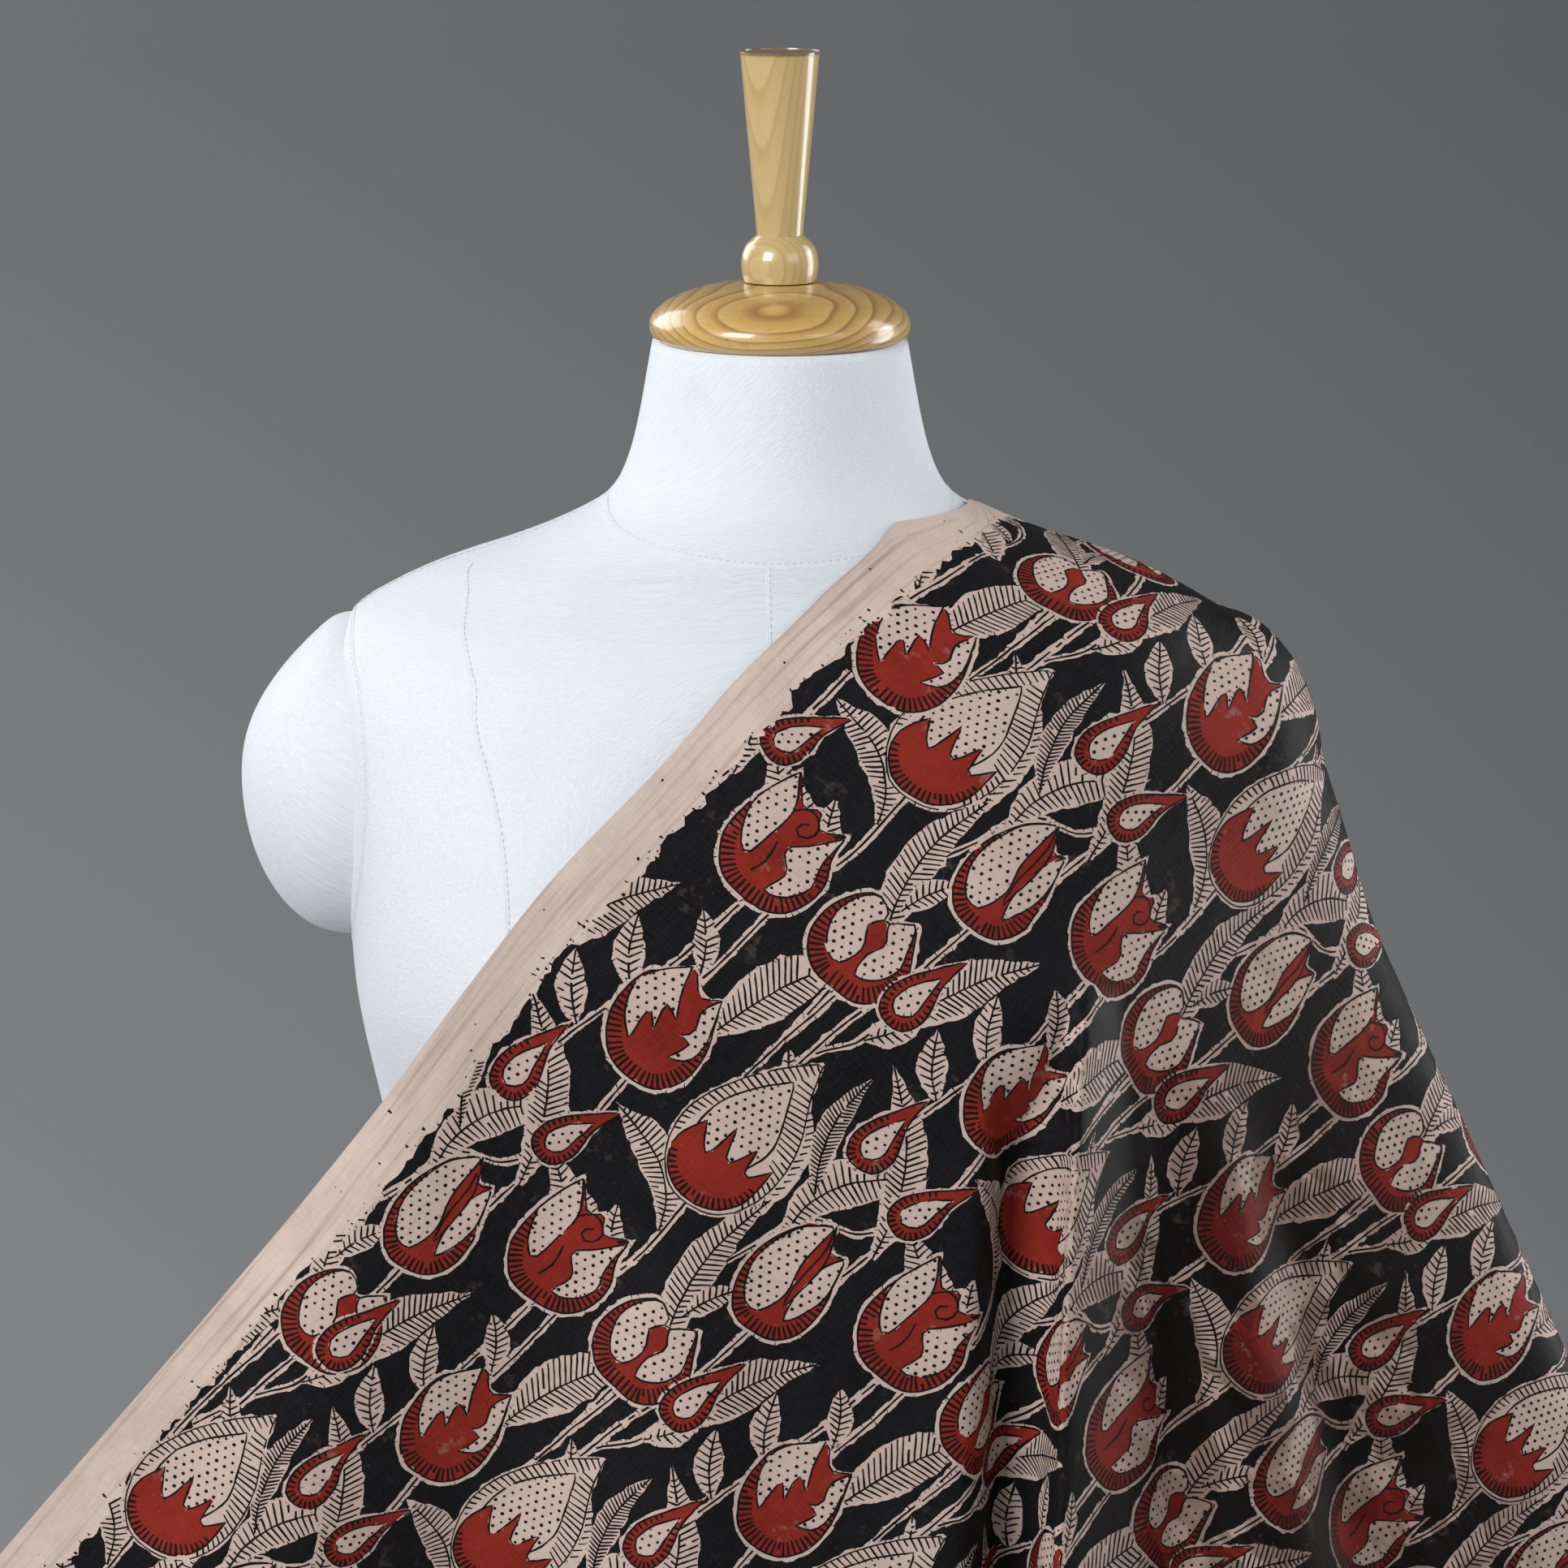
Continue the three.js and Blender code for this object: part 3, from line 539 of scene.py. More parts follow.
# Each fold: the line it is measured from, how far along the silk it lies from that line at its top and at
# the table, the level where it starts, its depth and half its width at the table, how far its crest rolls
# towards the front edge, and how its depth grows on the way down, 1 being evenly. A depth under 0 is a
# trough. The two deep rows beside the bust make one pleat, whose crest laps over its trough.
FOLDS = [
    ("pleat", -232, -430, 560, 20, 90, 0, 0.7), ("pleat", -190, -310, 480, -22, 85, 0, 0.8),
    ("pleat", -150, -180, 470, 20, 80, 0, 0.8), ("pleat", -23, -21, 530, -38, 40, 0, 0.4),
    ("pleat", 9, 21, 500, 32, 42, 44, 0.35), ("pleat", 44, 62, 480, -8, 34, 0, 0.8),
    ("pleat", 66, 120, 470, 24, 72, 0, 0.8), ("pleat", 96, 215, 430, -18, 64, 0, 0.8),
    ("side", 34, 72, 520, -26, 54, 0, 0.8), ("side", 62, 150, 540, 34, 58, 0, 0.8),
    ("side", 92, 232, 540, -32, 60, 0, 0.8), ("side", 125, 318, 530, 34, 62, 0, 0.8),
    ("side", 160, 405, 500, -24, 60, 0, 0.8), ("side", 185, 475, 480, 20, 56, 0, 0.8),
]
FOLD_TOP_WIDTH = 0.35  # a fold's width where it starts, as a share of its width at the table

HEM = [(5, 2.5), (0.9, 9), (0.9, 16), (0.9, 25), (0.9, RUN_OUT)]  # levels, and how far out on the table
COLUMNS = [(54, lambda t: 1 - (1 - t)**1.6), (54, lambda t: t**1.3), (69, lambda t: t)]
SILK_LEVELS = np.concatenate([np.linspace(TOP_EDGE, 655, 9)[:-1], np.linspace(655, 600, 14)[:-1],
                              np.linspace(600, 250, 72)[:-1], np.linspace(250, 14, 40)])


def eased_reach(z, ux, uy, ease):
    """The form's reach with its surface moved out by ease, square to its slope."""
    tilts = np.arange(-3, 4) / 6 * math.pi
    return np.max([form_reach(z + ease * math.sin(t), ux, uy) + ease * math.cos(t) for t in tilts], axis=0)


def cleared(points, ease):
    """Moves points of the silk out, level, until they clear the form and its arm cap."""
    x, y, z = points.reshape(-1, 3).T
    far = np.hypot(x, y)
    grow = np.maximum(1, eased_reach(z, x / far, y / far, ease) / far)
    x, y = x * grow, y * grow
    across, deep = (x - ARM_PLANE) / (ARM_BULGE + ease), y / (ARM_DEEP + ease)
    room = 1 - ((z - ARM_Z) / (ARM_TALL + ease))**2
    used = across**2 + deep**2
    grow = np.where((across > 0) & (used < room), np.sqrt(np.maximum(room, 0) / np.maximum(used, 1e-9)), 1)
    return np.stack([ARM_PLANE + (x - ARM_PLANE) * grow, y * grow, z], axis=1).reshape(points.shape)


def wrapped(points):
    """The convex outline round a set of points, turning to the left."""
    outline = []
    for ordered in (sorted(map(tuple, points)), sorted(map(tuple, points), reverse=True)):
        half = []
        for x, y in ordered:
            while len(half) > 1 and ((half[-1][0] - half[-2][0]) * (y - half[-2][1])
                                     <= (half[-1][1] - half[-2][1]) * (x - half[-2][0])):
                half.pop()
            half.append((x, y))
        outline += half[:-1]
    return np.array(outline)


def edge_clear_of(x, y, z):
    """An edge of the silk at a level, moved straight out from the axis if the form is in its way."""
    far = math.hypot(x, y)
    grow = max(1, (float(eased_reach(z, x / far, y / far, CLEAR)) + EDGE_CLEAR) / far)
    return x * grow, y * grow


def taut_section(z, reach, ux, uy):
    """The stretched outline of the silk at a level, from its front edge round its side to its back edge."""
    edge_x, edge_y, pleat_x, side_x, side_y, turn, back_x, back_y = (
        float(at(DRAPE, LED, name, z)) for name in LED[1:])
    front, back = edge_clear_of(edge_x, edge_y, z), edge_clear_of(back_x, back_y, z)
    points = list(zip(ux * reach, uy * reach))
    rise = min(abs(z - ARM_Z) / (ARM_TALL + CLEAR), 1)
    section = math.sqrt(1 - rise * rise)
    quarter = np.linspace(-1, 1, 33) * math.pi / 2
    if section > 0:
        points += list(zip(ARM_PLANE + (ARM_BULGE + CLEAR) * section * np.cos(quarter),
                           (ARM_DEEP + CLEAR) * section * np.sin(quarter)))
    points = [p for p in points if p[0] > (front if p[1] < 0 else back)[0]]
    points += list(zip(side_x - turn + turn * np.cos(quarter), side_y + turn * np.sin(quarter)))
    outline = wrapped(points + [front, back])
    first, last = (int(np.argmin(np.hypot(*(outline - end).T))) for end in (front, back))
    return np.roll(outline, -first, axis=0)[: (last - first) % len(outline) + 1], pleat_x


def silk_surface():
    """The silk's middle as rows of points from the neck down and out over the table."""
    ux, uy = direction((np.arange(181) / 90 - 1) * 0.72 * math.pi)
    reach = np.zeros(len(ux))
    rows, runs, pleats, sides = [], [], [], []
    for z in SILK_LEVELS:
        # Below the bust and the shoulder blades the silk hangs free of the form.
        reach = np.maximum(reach, eased_reach(z, ux, uy, CLEAR))
        line, pleat_x = taut_section(z, reach, ux, uy)
        run = run_of(line)
        side = int(np.argmax(line[:, 0]))
        pleat = float(np.interp(pleat_x, line[:side + 1, 0], run[:side + 1]))
        stops = [0, pleat, run[side], run[-1]]
        stations = np.concatenate([[0]] + [
            start + share(np.arange(1, count + 1) / count) * (end - start)
            for start, end, (count, share) in zip(stops, stops[1:], COLUMNS)])
        rows.append(on_line(line, run, stations))
        runs.append(stations)
        pleats.append(pleat)
        sides.append(run[side])
    rows, runs = np.array(rows), np.array(runs)
    for step in range(SMOOTHED_ACROSS):
        rows[:, 1:-1] = (rows[:, :-2] + 2 * rows[:, 1:-1] + rows[:, 2:]) / 4
    for step in range(SMOOTHED_DOWN):
        rows[1:-1] = (rows[:-2] + 2 * rows[1:-1] + rows[2:]) / 4
    ahead = np.gradient(rows, axis=1)
    ahead /= np.linalg.norm(ahead, axis=2)[:, :, None]
    out = np.stack([ahead[:, :, 1], -ahead[:, :, 0]], axis=2)
    from_line = {"pleat": np.array(pleats)[:, None], "side": np.array(sides)[:, None]}
    push, roll = np.zeros(runs.shape), np.zeros(runs.shape)
    for line, top, foot, start, depth, wide, lean, growth in FOLDS:
        fallen = np.clip((start - SILK_LEVELS) / start, 0, 1)[:, None]
        centre = from_line[line] + top + (foot - top) * fallen
        off = 1 - np.abs(runs - centre) / (wide * (FOLD_TOP_WIDTH + (1 - FOLD_TOP_WIDTH) * fallen))
        off = np.clip(off, 0, 1)
        share = off**2 * (3 - 2 * off) * fallen**growth
        push += depth * share
        roll += lean * share
    rows = rows + out * push[:, :, None] - ahead * roll[:, :, None]
    points = cleared(np.dstack([rows, np.broadcast_to(SILK_LEVELS[:, None], runs.shape)]), CLEAR)
    # Behind the shoulder the top edge lies a little lower, close on the canvas.
    lowered = np.clip((points[:, :, 2] - LOWERED_FROM) / (TOP_EDGE - LOWERED_FROM), 0, 1)
    points[:, :, 2] -= lowered * np.clip(LOWERED_SLOPE * points[:, :, 1], 0, LOWERED_MOST)
    points = cleared(points, CLEAR)
    hem = [np.dstack([points[-1:, :, :2] + out[-1:] * away, np.full((1, points.shape[1]), z)])
           for z, away in HEM]
    return np.concatenate([points] + hem)


surface = silk_surface()
surface_normal = np.cross(np.gradient(surface, axis=0), np.gradient(surface, axis=1))
surface_normal[-3:] = (0, 0, 1)
surface_normal /= np.linalg.norm(surface_normal, axis=2)[:, :, None]
SURFACE_ROWS, SURFACE_COLUMNS = surface.shape[:2]

# ------------------------------------------------------------------ the silk laid flat
# The cloth was printed flat, before it was hung. Here the hanging sheet is rolled out flat again without
# stretching it, its front selvage straight, so that a print drawn on the flat cloth follows every fold.

COARSE = 4  # every fourth row and column is rolled out, and those between are interpolated
SETTLING_ROUNDS = 90
SELVAGE_SHARE = 0.5  # of the edge round the neck, measured from the front, that is led along it


def rolled_out(points):
    """Flat places of a hanging grid's points, by letting each of its triangles turn but hardly stretch."""
    tall, wide = points.shape[:2]
    a, b, c, d = grid_faces(tall, wide).T
    corners = np.concatenate([np.stack([a, c, b], axis=1), np.stack([a, d, c], axis=1)])
    flat = points.reshape(-1, 3)
    p, q, r = (flat[corners[:, k]] for k in range(3))
    base = np.linalg.norm(q - p, axis=1)
    unit = (q - p) / base[:, None]
    run = np.sum((r - p) * unit, axis=1)
    rise = np.linalg.norm(r - p - unit * run[:, None], axis=1)
    zero = np.zeros(len(base))
    own = np.stack([np.stack([zero, zero], 1), np.stack([base, zero], 1), np.stack([run, rise], 1)], axis=1)
    pairs = [(0, 1, 2), (1, 2, 0), (2, 0, 1)]  # an edge and the corner across from it
    count = len(flat)
    stiff = np.zeros((count, count))
    weights = []
    for i, j, k in pairs:
        u, v = own[:, i] - own[:, k], own[:, j] - own[:, k]
        weight = np.clip(np.sum(u * v, axis=1) / np.abs(u[:, 0] * v[:, 1] - u[:, 1] * v[:, 0]), 0.05, 20)
        weights.append(weight)
        for m, n in ((i, j), (j, i)):
            np.add.at(stiff, (corners[:, m], corners[:, m]), weight)
            np.add.at(stiff, (corners[:, m], corners[:, n]), -weight)
    # The front selvage is the first column and the first part of the top row.
    grid = np.arange(count).reshape(tall, wide)
    selvage = np.unique(np.concatenate([grid[:, 0], grid[0, : int(wide * SELVAGE_SHARE)]]))
    free_a, free_b = np.setdiff1d(np.arange(count), selvage), np.arange(1, count)
    solve_a, solve_b = (np.linalg.inv(stiff[np.ix_(free, free)]) for free in (free_a, free_b))
    # It starts as a fan spread round the neck.
    fan = np.linspace(0, math.pi, wide)[None, :]
    far = np.cumsum(np.linalg.norm(np.diff(points, axis=0, prepend=points[:1]), axis=2), axis=0)
    neck = np.cumsum(np.linalg.norm(np.diff(points[0], axis=0, prepend=points[0, :1]), axis=1))
    place = np.stack([(far * np.sin(fan)).ravel(), (neck[None, :] - far * np.cos(fan)).ravel()], axis=1)
    for step in range(SETTLING_ROUNDS):
        spread = np.zeros((len(corners), 2, 2))
        for (i, j, k), weight in zip(pairs, weights):
            u = place[corners[:, i]] - place[corners[:, j]]
            spread += weight[:, None, None] * u[:, :, None] * (own[:, i] - own[:, j])[:, None, :]
        turn = np.arctan2(spread[:, 1, 0] - spread[:, 0, 1], spread[:, 0, 0] + spread[:, 1, 1])
        cos, sin = np.cos(turn), np.sin(turn)
        pull = np.zeros((count, 2))
        for (i, j, k), weight in zip(pairs, weights):
            e = own[:, i] - own[:, j]
            e = np.stack([cos * e[:, 0] - sin * e[:, 1], sin * e[:, 0] + cos * e[:, 1]], axis=1)
            e = e * weight[:, None]
            np.add.at(pull, corners[:, i], e)
            np.add.at(pull, corners[:, j], -e)
        place[free_a, 0] = solve_a @ pull[free_a, 0]
        place[selvage, 0] = 0
        place[free_b, 1] = solve_b @ (pull[free_b, 1] - stiff[free_b, 0] * place[0, 1])
    return place.reshape(tall, wide, 2)


rows_picked, columns_picked = (np.unique(np.append(np.arange(0, count, COARSE), count - 1))
                               for count in surface.shape[:2])
coarse_flat = rolled_out(surface[np.ix_(rows_picked, columns_picked)])
flat_rows = [on_line(row, columns_picked, np.arange(SURFACE_COLUMNS)) for row in coarse_flat]
flat_silk = np.stack([on_line(column, rows_picked, np.arange(SURFACE_ROWS))
                      for column in np.stack(flat_rows, axis=1)], axis=1)

# ------------------------------------------------------------------ the silk: its block print
# The silk is printed by hand with carved wooden blocks, in iron black and madder red on undyed cloth. Flower
# heads, buds and ribbed leaves stay the colour of the cloth where the black block leaves them bare, and the
# red block fills the cups. Everything here is drawn on the flat cloth, in millimetres, with x across from
# the selvage and y along it towards the neck.

BARE, RED, BLACK, SELVAGE = 0, 1, 2, 3
LINE, RIB, TOOTH, VEIN = 0.72, 0.74, 0.98, 0.8  # widths of the fine black lines
DOT = 0.68
OUTLINE_STEP = 2.4  # between the points of a printed outline
hand = np.random.default_rng(7)  # the unevenness of the printer's hand


def flowing(points, closed=True, step=2.6):
    """A flowing line through given points; a point given twice is a sharp corner."""
    p = np.array(points, float)
    count = len(p)
    line = []
    for i in range(count if closed else count - 1):
        ends = [(i + k) % count if closed else min(max(i + k, 0), count - 1) for k in (-1, 0, 1, 2)]
        span = math.hypot(*(p[ends[2]] - p[ends[1]]))
        if span > 1e-6:
            parts = max(2, round(span / step))
            line.append(curve(*p[ends], np.arange(parts)[:, None] / parts))
    return np.vstack(line if closed else line + [p[-1:]])


def leftward(line):
    """Unit vectors to the left of a line's way, at each of its points."""
    way = np.gradient(line, axis=0)
    way /= np.maximum(np.hypot(*way.T), 1e-9)[:, None]
    return np.stack([-way[:, 1], way[:, 0]], axis=1)


def drawn_in(outline, by):
    """An outline drawn in towards its middle by the same amount all round."""
    out = outline - outline.mean(axis=0)
    far = np.hypot(*out.T)[:, None]
    return outline.mean(axis=0) + out * np.maximum(far - by, 0.2 * far) / far


def within(points, outline):
    """Whether points lie inside an outline."""
    x, y = np.asarray(points, float).reshape(-1, 2).T
    hit = np.zeros(len(x), bool)
    low, high = outline.min(axis=0), outline.max(axis=0)
    near = np.flatnonzero((x > low[0]) & (x < high[0]) & (y > low[1]) & (y < high[1]))
    ax, ay = outline.T[:, :, None]
    bx, by = np.roll(outline, -1, axis=0).T[:, :, None]
    slant = (bx - ax) / np.where(ay == by, 1, by - ay)
    for part in np.array_split(near, len(near) // 4000 + 1):
        crossed = ((ay > y[part]) != (by > y[part])) & (x[part] < ax + (y[part] - ay) * slant)
        hit[part] = crossed.sum(axis=0) % 2 == 1
    return hit


def moved(points, place, turn, size=1.0, flip=1):
    """Points turned by an angle in degrees and put in their place."""
    c, s = math.cos(math.radians(turn)), math.sin(math.radians(turn))
    return (np.asarray(points, float) * (flip * size, size)) @ np.array([[c, s], [-s, c]]) + place


class Motif:
    """A drawing cut into a block: areas, fine lines and dots, in the order in which they lie."""

    def __init__(self):
        self.marks = []

    def area(self, outline, colour):
        self.marks.append(("area", outline, colour))

    def line(self, line, width):
        self.marks.append(("line", line, width))

    def edged(self, outline, width=LINE):
        self.line(np.vstack([outline, outline[:1]]), width)

    def patch(self, outline, colour):
        self.area(outline, colour)
        self.edged(outline)

    def dotted(self, outline, pitch=4.3, margin=1.5):
        low, high = outline.min(axis=0) - pitch, outline.max(axis=0)
        rows = np.arange(low[1], high[1], pitch * 0.86)
        grid = np.array([(x + i % 2 * pitch / 2, y) for i, y in enumerate(rows)
                         for x in np.arange(low[0], high[0], pitch)])
        self.marks.append(("dots", grid[within(grid, drawn_in(outline, margin))], DOT))

    def add(self, other, place=(0, 0), turn=0, size=1.0, flip=1):
        for kind, points, value in other.marks:
            if len(points):
                self.marks.append((kind, moved(points, place, turn, size, flip), value))


def strokes(motif, line, reach, gap, lean=0.0, wide=RIB):
    """A row of short strokes to the left of a line."""
    base = evenly(line, gap)
    left = leftward(base)
    ahead = np.stack([left[:, 1], -left[:, 0]], axis=1)
    reach = np.interp(np.linspace(0, 1, len(base)), np.linspace(0, 1, len(reach)), reach)
    for start, way, far in zip(base, left + ahead * lean, reach):
        if far > 1.4:
            motif.line(np.array([start, start + way * far]), wide)


def bloom(halo, petals, toothed=(-0.36, 0.36), tooth=6.0, edge=2.0, over=(), veins=()):
    """A flower head: a bare edge, a red cup with teeth cut round its foot, dotted petals, and what lies
    over them."""
    head = Motif()
    halo = flowing(halo)
    head.area(halo, BARE)
    cup = evenly(drawn_in(halo, edge), OUTLINE_STEP, closed=True)
    head.patch(cup, RED)
    first, last = (round(len(cup) * share) for share in toothed)
    foot = np.array([cup[i % len(cup)] for i in range(first, last + 1)])
    strokes(head, foot, [0.6 * tooth, tooth, tooth, 0.6 * tooth], 2.9, wide=TOOTH)
    for petal in map(flowing, petals):
        head.patch(petal, BARE)
        head.dotted(petal)
    for shape in over:
        head.patch(flowing(shape), RED)
    for vein in veins:
        head.line(flowing(vein, closed=False), VEIN)
    return head


def leaf(spine, left_widths, right_widths, gap=2.9, lean=0.55):
    """A leaf on its midrib, with a row of ribs each side."""
    made = Motif()
    line = evenly(flowing(spine, closed=False), 3.0)
    t = np.linspace(0, 1, len(line))
    side = leftward(line)
    left, right = (np.interp(t, np.linspace(0, 1, len(w)), w)[:, None] for w in (left_widths, right_widths))
    made.area(np.vstack([line + side * left, (line - side * right)[::-1]]), BARE)
    made.line(line, LINE)
    strokes(made, line, left[:, 0] - 0.8, gap, lean)
    strokes(made, line[::-1], right[::-1, 0] - 0.8, gap, -lean)
    return made


def stem(route, width=3.4):
    """A stem: two bare lines with a black one between."""
    made = Motif()
    line = evenly(flowing(route, closed=False), 3.0)
    side = leftward(line) * (width / 2 * (1 + 0.18 * np.sin(np.linspace(0, 9, len(line)))))[:, None]
    made.area(np.vstack([line + side, (line - side)[::-1]]), BARE)
    made.line(line, VEIN)
    return made


closed_tulip = bloom(
    [(0, -2), (12, 0), (20, 10), (22, 25), (19, 39), (16, 52), (16, 52), (9, 50), (4, 62), (4, 62),
     (-7, 56), (-16, 44), (-21, 29), (-20, 13), (-12, 1)],
    [[(-3, 9), (3, 22), (1, 38), (4, 60), (4, 60), (-7, 53), (-14, 41), (-17, 26), (-12, 12)],
     [(9, 11), (15, 20), (18, 32), (15, 50), (15, 50), (9, 40), (7, 25)]],
    toothed=(-0.4, 0.38), over=[[(4, 60), (4, 60), (6, 46), (4, 30), (5, 16), (8, 30), (9, 45)]])
heart_bloom = bloom(
    [(0, -2), (13, -1), (23, 9), (25, 22), (20, 34), (14, 46), (14, 46), (2, 38), (2, 38), (-7, 47),
     (-17, 41), (-24, 27), (-23, 11), (-13, 0)],
    [[(-4, 11), (0, 22), (-4, 32), (1, 39), (-7, 45), (-15, 38), (-18, 25), (-12, 12)],
     [(4, 10), (12, 13), (18, 22), (16, 33), (13, 44), (13, 44), (3, 37), (7, 29), (3, 20)]],
    toothed=(-0.42, 0.42), tooth=7.2)
torn_bloom = bloom(
    [(0, -2), (13, 0), (22, 11), (24, 26), (21, 40), (17, 53), (17, 53), (8, 49), (0, 59), (0, 59),
     (-9, 52), (-18, 47), (-23, 34), (-23, 18), (-14, 3)],
    [[(-2, 57), (-2, 57), (0, 44), (4, 33), (4, 33), (-3, 37), (-2, 24), (-2, 24), (-8, 31), (-9, 15),
      (-9, 15), (-16, 24), (-19, 36), (-15, 46)],
     [(16, 51), (16, 51), (11, 42), (13, 33), (8, 28), (8, 28), (14, 27), (9, 17), (9, 17), (17, 20),
      (20, 31)]],
    tooth=6.8)
tall_bloom = bloom(
    [(0, -2), (14, 0), (23, 10), (26, 24), (22, 36), (21, 50), (21, 50), (10, 45), (5, 54), (5, 54),
     (-3, 50), (-12, 63), (-12, 63), (-20, 48), (-25, 32), (-25, 16), (-15, 2)],
    [[(-12, 60), (-12, 60), (-5, 45), (-7, 30), (-11, 17), (-18, 24), (-21, 38), (-17, 50)],
     [(4, 8), (13, 10), (20, 20), (18, 31), (20, 47), (20, 47), (10, 36), (2, 28), (8, 19)]],
    tooth=6.8,
    veins=[[(-5, 44), (1, 49), (8, 45), (8, 39), (3, 36), (0, 40), (4, 43)], [(-5, 12), (-2, 20), (-3, 29)]])
# A large ribbed petal with a dotted field and a torn red cup at its foot.
hooded_bloom = Motif()
hood = flowing([(0, -3), (15, 1), (25, 14), (29, 32), (26, 52), (18, 70), (13, 88), (13, 88), (-2, 74),
                (-17, 54), (-25, 33), (-22, 13), (-12, 0)])
hooded_bloom.area(hood, BARE)
rim = evenly(drawn_in(hood, 1.2), OUTLINE_STEP, closed=True)
hooded_bloom.edged(rim, LINE * 0.8)
strokes(hooded_bloom, rim[round(len(rim) * 0.12): round(len(rim) * 0.44)], [7, 8, 10, 7], 3.0, 0.35)
strokes(hooded_bloom, rim[round(len(rim) * 0.48): round(len(rim) * 0.84)], [4, 8, 6, 3], 3.2, -0.35)
field = flowing([(-2, 16), (11, 24), (17, 40), (13, 56), (7, 72), (7, 72), (-6, 58), (-15, 42), (-15, 24)])
hooded_bloom.edged(field)
hooded_bloom.dotted(field)
torn_cup = flowing([(0, 0), (12, 3), (21, 14), (23, 32), (23, 32), (14, 23), (12, 37), (12, 37), (4, 24),
                    (-1, 40), (-1, 40), (-6, 22), (-14, 35), (-14, 35), (-20, 22), (-18, 10), (-10, 2)])
hooded_bloom.patch(torn_cup, RED)
foot = np.roll(torn_cup, len(torn_cup) // 7, axis=0)[: len(torn_cup) // 3]
strokes(hooded_bloom, foot, [3.4, 5.6, 5.6, 3.4], 2.9, wide=TOOTH)
drop = bloom(
    [(0, -2), (8, 0), (12, 9), (11, 19), (7, 31), (7, 46), (7, 46), (-1, 34), (-8, 23), (-11, 11), (-8, 1)],
    [[(0, 5), (6, 10), (5, 20), (4, 31), (4, 31), (-3, 20), (-5, 10)]],
    toothed=(-0.32, 0.32), tooth=3.8, edge=1.7)
broad_leaf = leaf([(0, 0), (3, 24), (9, 48), (21, 76)], (1.5, 10, 14, 12, 6, 0), (1.5, 9, 13, 10, 5, 0))
long_leaf = leaf([(0, 0), (-3, 28), (2, 60), (18, 92)], (1.5, 7, 10, 9.5, 6, 0), (1.5, 6.5, 9.5, 9, 5, 0))
side_leaf = leaf([(0, 0), (6, 18), (22, 34), (52, 46)], (1.2, 8, 12, 10, 0), (1.2, 7, 11, 8, 0), lean=0.2)
sprig = leaf([(0, 0), (-1, 13), (2, 28)], (0.6, 5, 6.4, 4.4, 0), (0.6, 5, 6, 3.8, 0))

# One printing of the block. It is set down again every ALONG up the selvage, and in rows ACROSS apart that
# are each SHIFT further up.
ACROSS, ALONG, SHIFT = 150.0, 206.0, 44.0
BLOCK_TURN, BLOCK_SIZE = 13, 0.9  # degrees to the left of the selvage, and the size it is cut to
stems, leaves, heads = Motif(), Motif(), []
for route in (
    [(-34, -108), (-12, -62), (8, -24), (22, 16)],
    [(50, -100), (54, -64), (64, -30), (72, 2)],
    [(72, -44), (84, -10), (100, 22), (112, 54)],
    [(14, -44), (26, -12), (36, 22), (52, 56), (60, 94)],
    [(-24, 24), (-10, 62), (6, 98), (14, 130)],
    [(64, -30), (78, 12), (80, 60), (100, 96), (116, 142)],
    [(100, 96), (112, 110), (130, 112), (142, 122)],
    [(60, 150), (78, 176), (92, 190), (98, 206)],
):
    stems.add(stem(route))
for leafage, place, turn, size, flip in (
    (broad_leaf, (90, 100), 2, 1.0, -1),
    (long_leaf, (84, 20), 6, 0.95, 1),
    (broad_leaf, (42, 20), 20, 1.0, -1),
    (side_leaf, (104, 96), 10, 1.0, 1),
    (long_leaf, (-8, 62), 10, 0.95, -1),
    (broad_leaf, (36, -44), -18, 0.95, 1),
    (broad_leaf, (104, -2), -22, 0.88, 1),
    (sprig, (82, 44), -32, 1.0, 1),
    (sprig, (46, 46), 26, 1.1, 1),
    (sprig, (94, 192), -40, 1.1, -1),
    (long_leaf, (107, 120), 12, 0.64, 1),
    (sprig, (20, 184), 20, 1.0, -1),
    (side_leaf, (55, 73), -4, 0.85, -1),
    (sprig, (134, 183), 30, 1.15, 1),
    (sprig, (-3, -42), 24, 1.15, 1),
):
    leaves.add(leafage, place, turn, size, flip)
for head, place, turn, size in (
    (tall_bloom, (22, 16), -6, 1.0),
    (heart_bloom, (72, 0), -8, 1.0),
    (closed_tulip, (112, 52), -6, 1.0),
    (hooded_bloom, (60, 92), -8, 0.98),
    (torn_bloom, (14, 128), -4, 1.0),
    (drop, (117, 140), -10, 1.0),
    (drop, (99, 204), -16, 1.0),
    (drop, (143, 122), -28, 0.95),
):
    heads.append(Motif())
    heads[-1].add(head, place, turn, size)

# ------------------------------------------------------------------ the silk: printed and hung up
# The printed areas and the bare band along the selvage are cut out of one sheet of small triangles, which
# is then hung in its folds. The finest black lines and dots are too small for it: they lie on it as thin
# films of colour, as the ink does.

BAND_WIDE = 21  # the bare band along the selvage
BAND_SURE = 0.8  # the share of its width that is bare however the print's edge turns
EDGE_SWAY, EDGE_RAGGED = 3.5, 0.55  # how far the print's edge wanders slowly, and from point to point
BLOCK_RAGGED = 0.3  # the same for the outlines within it
SET_IN = range(0, 22, 3)  # how far a head beside the print's edge may be set in
HEAD_SEEN, HEAD_WHOLE = 0.35, 0.85  # a head is left off under the one, and counts as uncut over the other
ROWS, STEPS = range(-4, 11), range(-10, 8)  # more printings of the block than the cloth has room for
REACH_ON, REACH_BACK = 260, 180  # how far a printing may reach from its place, each way
LATTICE, CLOTH_EDGE_STEP = 6.4, 4.0  # between the sheet's own points
OFF_CLOTH = 30  # marks that lie further out than this are skipped
FILM = 0.12  # how far the fine lines stand off the silk

